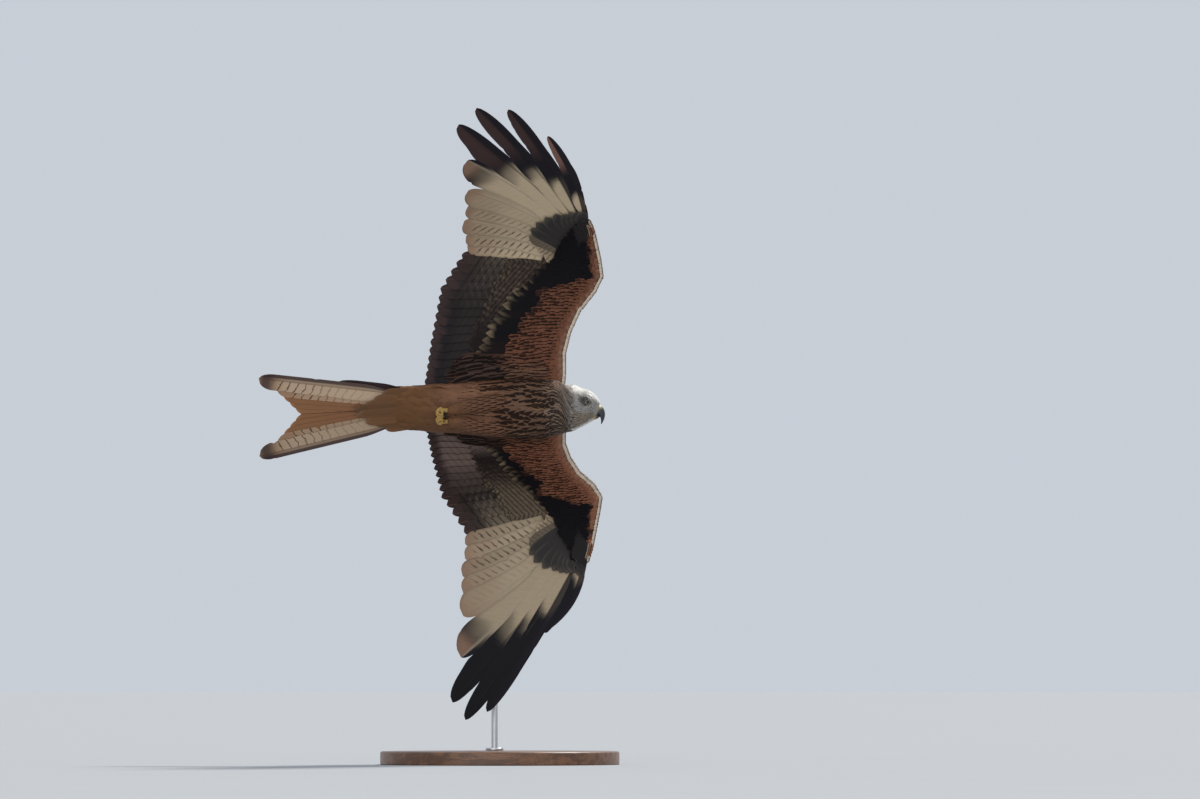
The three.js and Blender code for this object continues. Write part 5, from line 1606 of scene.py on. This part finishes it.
# where the neck's feathers give way to the head's
napeAlong = float(bodyStations[-len(bodySet["headRings"])])


def wandering(a, theta):
    # a station that wanders a little round the body, so that no tone ends in a ring
    return a + 4 * ripple(theta * 3, a * 0.1, 1)


def makeNeckCoat(material):
    lines, step = lineSet["neck"]
    start = float(np.interp(104, bodyTable[:, 0], bodyAlong))
    a, theta, line = flowLines(start, napeAlong + 7, lines, step).T
    z = headFromBird(bodyPoint(a, theta))[..., 2]
    chance = draw.uniform(0, 1, len(a))
    paling = ease(wandering(a, theta) + 0.5 * np.maximum(z, 0), napeAlong - 16, napeAlong + 14)
    base = blend("neck", "head", paling)
    # painted sunlight, a warm glow along the top of the neck
    base = blend(base, "paintedSunGlow", 0.5 * ease(z, 2, 20) * (1 - paling))
    # towards the crown the top of the neck takes its own pale colour and painted sunlight
    base = blend(base, "headPaleAndSunlit", 0.75 * ease(z, 6, 26) * paling)
    base = base * (0.86 + 0.26 * chance[:, None])
    streak = streakRun(a, line) * (0.48 + 0.18 * chance) * (1 - 0.3 * paling)
    length = 21 - 7 * ease(a, start, napeAlong) + 2 * chance
    half = 0.8 * 2 * math.pi * bodyRow(a)[9] / lines
    stack = newStack()
    addBodyFeathers(stack, np.stack([a, theta], axis=-1), length, half, draw.normal(0, 0.08, len(a)),
                    1.0 + 0.6 * chance, base, streak, cup=0.6)
    finishStack(stack, "neckCoat", material, ("neck",))


def makeFaceCoat(material):
    places = scatterBody(napeAlong + 3, bodyLength + 0.6, headSet["rowStep"], headSet["tuftStep"])
    a, theta = places.T
    x, y, z = headFromBird(bodyPoint(np.clip(a, 0, bodyLength), theta)).T
    eyeX, eyeZ = headSet["eye"][0], headSet["eye"][2]
    eyeNear = np.sqrt((x - eyeX) ** 2 + (1.15 * (z - eyeZ)) ** 2) + 30 * (np.abs(y) < 8)
    keep = eyeNear > headSet["bare"]
    places, a, theta, x, y, z, eyeNear = (part[keep] for part in (places, a, theta, x, y, z, eyeNear))
    chance = draw.uniform(0, 1, len(a))
    # shares of each region of the head
    front = ease(a, napeAlong + 6, bodyLength)
    brow = ease(z, eyeZ + 5, eyeZ + 8) * (1 - ease(z, eyeZ + 9, eyeZ + 13))
    brow = brow * (1 - ease(np.abs(x - eyeX - 1), 6, 12))
    forehead = ease(x, eyeX - 2, eyeX + 12) * ease(z + 0.5 * (x - eyeX), eyeZ + 7, eyeZ + 12)
    chin = ease(-z, 22, 28) * (1 - ease(np.abs(y), 3, 9))
    throat = ease(-z, 17, 23) * (1 - chin)
    # the crown's share, rising with z, is its own whitish colour and painted sunlight; forehead and chin are
    # their own pale colour
    pale = np.maximum(np.maximum(0.9 * ease(z, 7, 22), forehead), 0.6 * chin)
    behind = (1 - ease(wandering(a, theta), napeAlong - 4, napeAlong + 7)) * (1 - ease(z, 8, 18))
    near = ease(eyeNear, 7, 12)
    base = blend("head", "headPaleAndSunlit", pale)
    base = blend(base, "creamGrey", 0.6 * throat)
    base = blend(base, "headStreak", 0.75 * (1 - ease(eyeNear, 7.5, 12.0)) * (1 - brow))
    base = blend(base, "neck", 0.6 * behind)
    base = base * (0.94 + 0.3 * chance[:, None])
    streak = (0.18 - 0.06 * front + 0.24 * behind + 0.2 * throat) * (0.5 + chance) * (1 - 0.7 * pale)
    length = (headSet["tuftLength"] - 3.6 * front + 1.5 * chance) * (0.6 + 0.4 * near)
    half = (headSet["tuftHalf"] - 0.45 * front) * (0.75 + 0.25 * near)
    lift = 0.4 + 0.5 * chance + 1.7 * brow + 2.4 * forehead
    stack = newStack()
    addBodyFeathers(stack, places, length, half, draw.normal(0, 0.12, len(a)), lift, base, streak,
                    sunk=1.0, cup=0.5, coarse=True)
    finishStack(stack, "headCoat", material, ("head",))


# Feet

footSet = {
    "x": -98.3, "y": 11.0, "z": -46.0, "lean": 118.0, "scute": 0.10, "voxel": 0.0005,
    "tarsus": 4.4, "tarsusLong": 17.0, "tarsusStart": 5.0, "knuckle": 11.0, "padLong": 5.6, "pad": 5.8,
    # start off the knuckle (back, outwards, down), length and turn of each front toe
    "toes": ((-1, 3.0, -3.4, 26, 215), (0, 3.6, 0.2, 30, 205), (1, 2.6, 3.6, 23, 225)),
    # radius at root and tip, steps, scutes, and the claw's turn and length
    "front": (3.0, 2.16, 30, 8, 75, 10), "hind": (2.7, 2.2, 14, 3, 95, 9), "claw": 1.5, "clawTip": 0.2,
}


def curlRings(start, ahead, towards, turn, length, thick, tip, steps, scutes=0, sides=14):
    # rings along a curve that sets off ahead and bends towards
    rings = []
    centre = np.array(start, float)
    ahead, towards = np.array(ahead, float), np.array(towards, float)
    for i in range(steps + 1):
        t = i / steps
        forward = math.cos(turn * t) * ahead + math.sin(turn * t) * towards
        up = math.cos(turn * t) * towards - math.sin(turn * t) * ahead
        radius = thick + (tip - thick) * t
        if scutes:
            radius *= 1 + footSet["scute"] * (abs(math.sin(math.pi * t * scutes)) - 0.6)
        rings.append(ovalRing(centre, np.cross(up, forward), up, radius, radius, sides))
        centre = centre + forward * length / steps
    return rings, centre, forward, up


def addToe(feet, claws, start, ahead, towards, turn, length, values):
    thick, tip, steps, scutes, clawTurn, clawLength = values
    made = curlRings(start, ahead, towards, math.radians(turn), length, thick, tip, steps, scutes)
    rings, end, ahead, towards = made
    ringTube(feet, rings)
    made = curlRings(end - ahead * 0.6, ahead, towards, math.radians(clawTurn), clawLength, footSet["claw"],
                     footSet["clawTip"], 12)
    ringTube(claws, made[0])


def makeFeet():
    scaly = makeScaleFinish()
    clawFinish = makeHorn("clawFinish", "1d1c1e", "0d0d10")
    lean = math.radians(footSet["lean"])
    back = np.array((-1.0, 0.0, 0.0))
    for side, label in ((1, "left"), (-1, "right")):
        feet, claws = bmesh.new(), bmesh.new()
        inwards = np.array((0.0, -side * math.sin(lean), math.cos(lean)))
        down = np.cross(inwards, back) * side
        start = (footSet["x"] + footSet["tarsusStart"], side * footSet["y"], footSet["z"])
        thick = footSet["tarsus"]
        ringTube(feet, curlRings(start, back, inwards, 0, footSet["tarsusLong"], thick, thick, 12, 5)[0])
        knuckle = np.array((footSet["x"] - footSet["knuckle"], side * footSet["y"], footSet["z"]))
        pad = []
        for turn in np.linspace(0.05, math.pi - 0.05, 10):
            radius = max(footSet["pad"] * math.sin(turn), 0.3)
            centre = knuckle + (footSet["padLong"] * math.cos(turn), 0, 0)
            pad.append(ovalRing(centre, (0, 1, 0), (0, 0, 1), radius, radius, 16))
        ringTube(feet, pad)
        for backwards, outwards, lower, length, turn in footSet["toes"]:
            begin = knuckle + back * backwards - inwards * outwards + down * lower
            addToe(feet, claws, begin, back, inwards, turn, length, footSet["front"])
        hind = knuckle + down * 3.2 + np.array((2.0, 0, 0))
        addToe(feet, claws, hind, inwards, back, 35, 8, footSet["hind"])
        piece = finishPiece(feet, label + "Foot", scaly, (f"{label}_foot",))
        applyModifier(piece, "REMESH", mode="VOXEL", voxel_size=footSet["voxel"], use_smooth_shade=True)
        finishPiece(claws, label + "Claws", clawFinish)


def makeScaleFinish():
    n = Nodes("scaleFinish")
    cells = n.add("ShaderNodeTexVoronoi", {"feature": "DISTANCE_TO_EDGE"}, Vector=n.place(), Scale=950.0)
    edge = n.span(cells.outputs["Distance"], 0.0, 0.06)
    blotch = n.noise(n.place(), 260.0)
    colour = n.mix(blotch, (*tone("9c7a3c"), 1), (*tone("c19c54"), 1))
    colour = n.mix(edge, (*tone("80602f"), 1), colour)
    n.bump(edge, 0.0003, 0.7)
    return n.finish(Base_Color=colour, Roughness=0.48, Specular_IOR_Level=0.4)


# Stand

standSet = {
    "radius": 225.0, "height": 25.0, "edge": 4.0, "rod": 6.0, "footY": 190.0, "riseX": -10.0,
    "top": 682.0, "bend": 60.0, "inBack": 44.0, "lowerEdge": 1.5, "collar": (17.0, 5.0), "collarEdge": 1.2,
}


def makeStand():
    bm = bmesh.new()
    radius, height, edge, lower = (standSet[key] / 1000 for key in ("radius", "height", "edge", "lowerEdge"))
    profile = [(0, 0, 0), (radius - lower, 0, 0), (radius, 0, lower), (radius, 0, height - edge)]
    for i in range(1, 9):
        turn = math.pi / 2 * i / 8
        profile.append((radius - edge * (1 - math.cos(turn)), 0, height - edge * (1 - math.sin(turn))))
    profile.append((0, 0, height))
    verts = [bm.verts.new(point) for point in profile]
    spinRound(bm, verts + [bm.edges.new(pair) for pair in zip(verts, verts[1:])], 128)
    finishPiece(bm, "standBase", makeWood(), ("stand_base",), sharp=40)

    bm = bmesh.new()
    x, y, top, bend = standSet["riseX"], standSet["footY"], standSet["top"], standSet["bend"]
    path = [(x, y, z) for z in np.linspace(standSet["height"] + 0.3, top - bend, 8)]
    path += [(x, y - bend * (1 - math.cos(a)), top - bend + bend * math.sin(a))
             for a in np.linspace(0, math.pi / 2, 17)[1:]]
    path += [(x, yy, top) for yy in np.linspace(y - bend, placing["setBack"] + standSet["inBack"], 6)[1:]]
    path = np.array(path, float)
    rings = []
    for i, point in enumerate(path):
        forward = path[min(i + 1, len(path) - 1)] - path[max(i - 1, 0)]
        forward /= np.linalg.norm(forward)
        up = np.cross((1, 0, 0), forward)
        rings.append(ovalRing(point, (1, 0, 0), up, standSet["rod"], standSet["rod"], 32) / 1000)
    ringTube(bm, rings, np.asarray)
    steel = makeSteel()
    finishPiece(bm, "standRod", steel, ("stand_rod",), sharp=60)

    bm = bmesh.new()
    collarRadius, collarHeight = (value / 1000 for value in standSet["collar"])
    bmesh.ops.create_cone(bm, cap_ends=True, segments=64, radius1=collarRadius, radius2=collarRadius,
                          depth=collarHeight)
    corners = [edge for edge in bm.edges if edge.calc_face_angle(0) > 1]
    bmesh.ops.bevel(bm, geom=corners, offset=standSet["collarEdge"] / 1000, segments=4, profile=0.5,
                    affect="EDGES", material=-1)
    bmesh.ops.translate(bm, vec=(x / 1000, y / 1000, height + collarHeight / 2 + 0.0001), verts=bm.verts)
    finishPiece(bm, "standCollar", steel, sharp=40)


def makeSteel():
    n = Nodes("steelFinish")
    grain = n.noise(n.vector("MULTIPLY", n.place(), (900.0, 900.0, 30.0)), 1.0, 3.0)
    n.bump(grain, 0.00003, 0.4)
    return n.finish(Base_Color=n.mix(grain, (0.42, 0.43, 0.45, 1), (0.6, 0.61, 0.63, 1)), Metallic=1.0,
                    Roughness=n.span(grain, 0.0, 1.0, 0.22, 0.36))


def makeWood():
    n = Nodes("woodFinish")
    stretched = n.vector("MULTIPLY", n.place(), (2.2, 26.0, 26.0))
    flow = n.noise(stretched, 1.0, 4.0, 0.6)
    rings = n.math("SINE", n.math("MULTIPLY_ADD", flow, 34.0, 0.0))
    pores = n.noise(n.vector("MULTIPLY", n.place(), (40.0, 900.0, 900.0)), 1.0, 2.0)
    colour = n.mix(n.span(rings, -1, 1), (*tone("5a3a24"), 1), (*tone("7b5336"), 1))
    colour = n.mix(n.span(pores, 0.52, 0.7), colour, (*tone("3a2417"), 1))
    n.bump(pores, 0.00012, 0.5)
    return n.finish(Base_Color=colour, Roughness=0.42, Specular_IOR_Level=0.45, Coat_Weight=0.25,
                    Coat_Roughness=0.3)


def makeFloor():
    bm = bmesh.new()
    bmesh.ops.create_grid(bm, x_segments=2, y_segments=2, size=400)
    mesh = bpy.data.meshes.new("floor")
    bm.to_mesh(mesh)
    bm.free()
    n = Nodes("floorFinish")
    haze = n.noise(n.place(), 3.0)
    grey = n.mix(haze, (0.34, 0.355, 0.375, 1), (0.36, 0.375, 0.395, 1))
    mesh.materials.append(n.finish(Base_Color=grey, Roughness=0.8))
    floor = bpy.data.objects.new("floor", mesh)
    scene.collection.objects.link(floor)


def makeSkinFinish():
    n = Nodes("skinFinish")
    down = n.noise(n.place(), 700.0, 4.0, 0.65)
    light = n.span(down, 0.2, 0.8, 0.7, 1.1)
    shade = n.add("ShaderNodeCombineColor", Red=light, Green=light, Blue=light).outputs[0]
    n.bump(down, 0.0008, 0.8)
    return n.finish(Base_Color=n.mix(1.0, n.attribute("colour", "Color"), shade, "MULTIPLY"), Roughness=0.85,
                    Specular_IOR_Level=0.15)


makeCamera()
makeLights()
makeFloor()
print("camera, lights and floor are in place")

skin = makeSkin(makeSkinFinish())
print("skin is in place")

flightFinish = makePlumage("flightFinish", 0.6)
softFinish = makePlumage("softFinish")

for sideName, sideValues in wingSides.items():
    remiges, fan = makeRemiges(sideValues)
    finishStack(remiges, sideName + "Remiges", flightFinish,
                (f"{sideName}_wing_arm", f"{sideName}_wing_hand"))
    tiers = newStack()
    made = 0
    for tierName in ("underGreater", "underMedian", "upperGreater", "upperMedian"):
        made = addTier(tiers, fan, tierName, made, 4 * tierSet["count"])
    finishStack(tiers, sideName + "Coverts", softFinish)
    smalls = newStack()
    for face in (1, -1):
        addSmallCoverts(smalls, fan, face)
        addShoulder(smalls, fan, face)
    finishStack(smalls, sideName + "SmallCoverts", softFinish)
    laid = addLaidFeathers(newStack(), fan)
    finishStack(laid, sideName + "LaidFeathers", softFinish)
print("wings are in place")

finishStack(makeTail(), "tailFeathers", flightFinish, ("tail",))
makeBodyCoat(softFinish)
makeTrousers(softFinish)
makeNeckCoat(softFinish)
makeFaceCoat(softFinish)
tintSkin(skin)
print("tail, body and head have their feathers")

makeBill()
makeEyes()
makeFeet()
makeStand()
print("bill, eyes, feet and stand are in place")
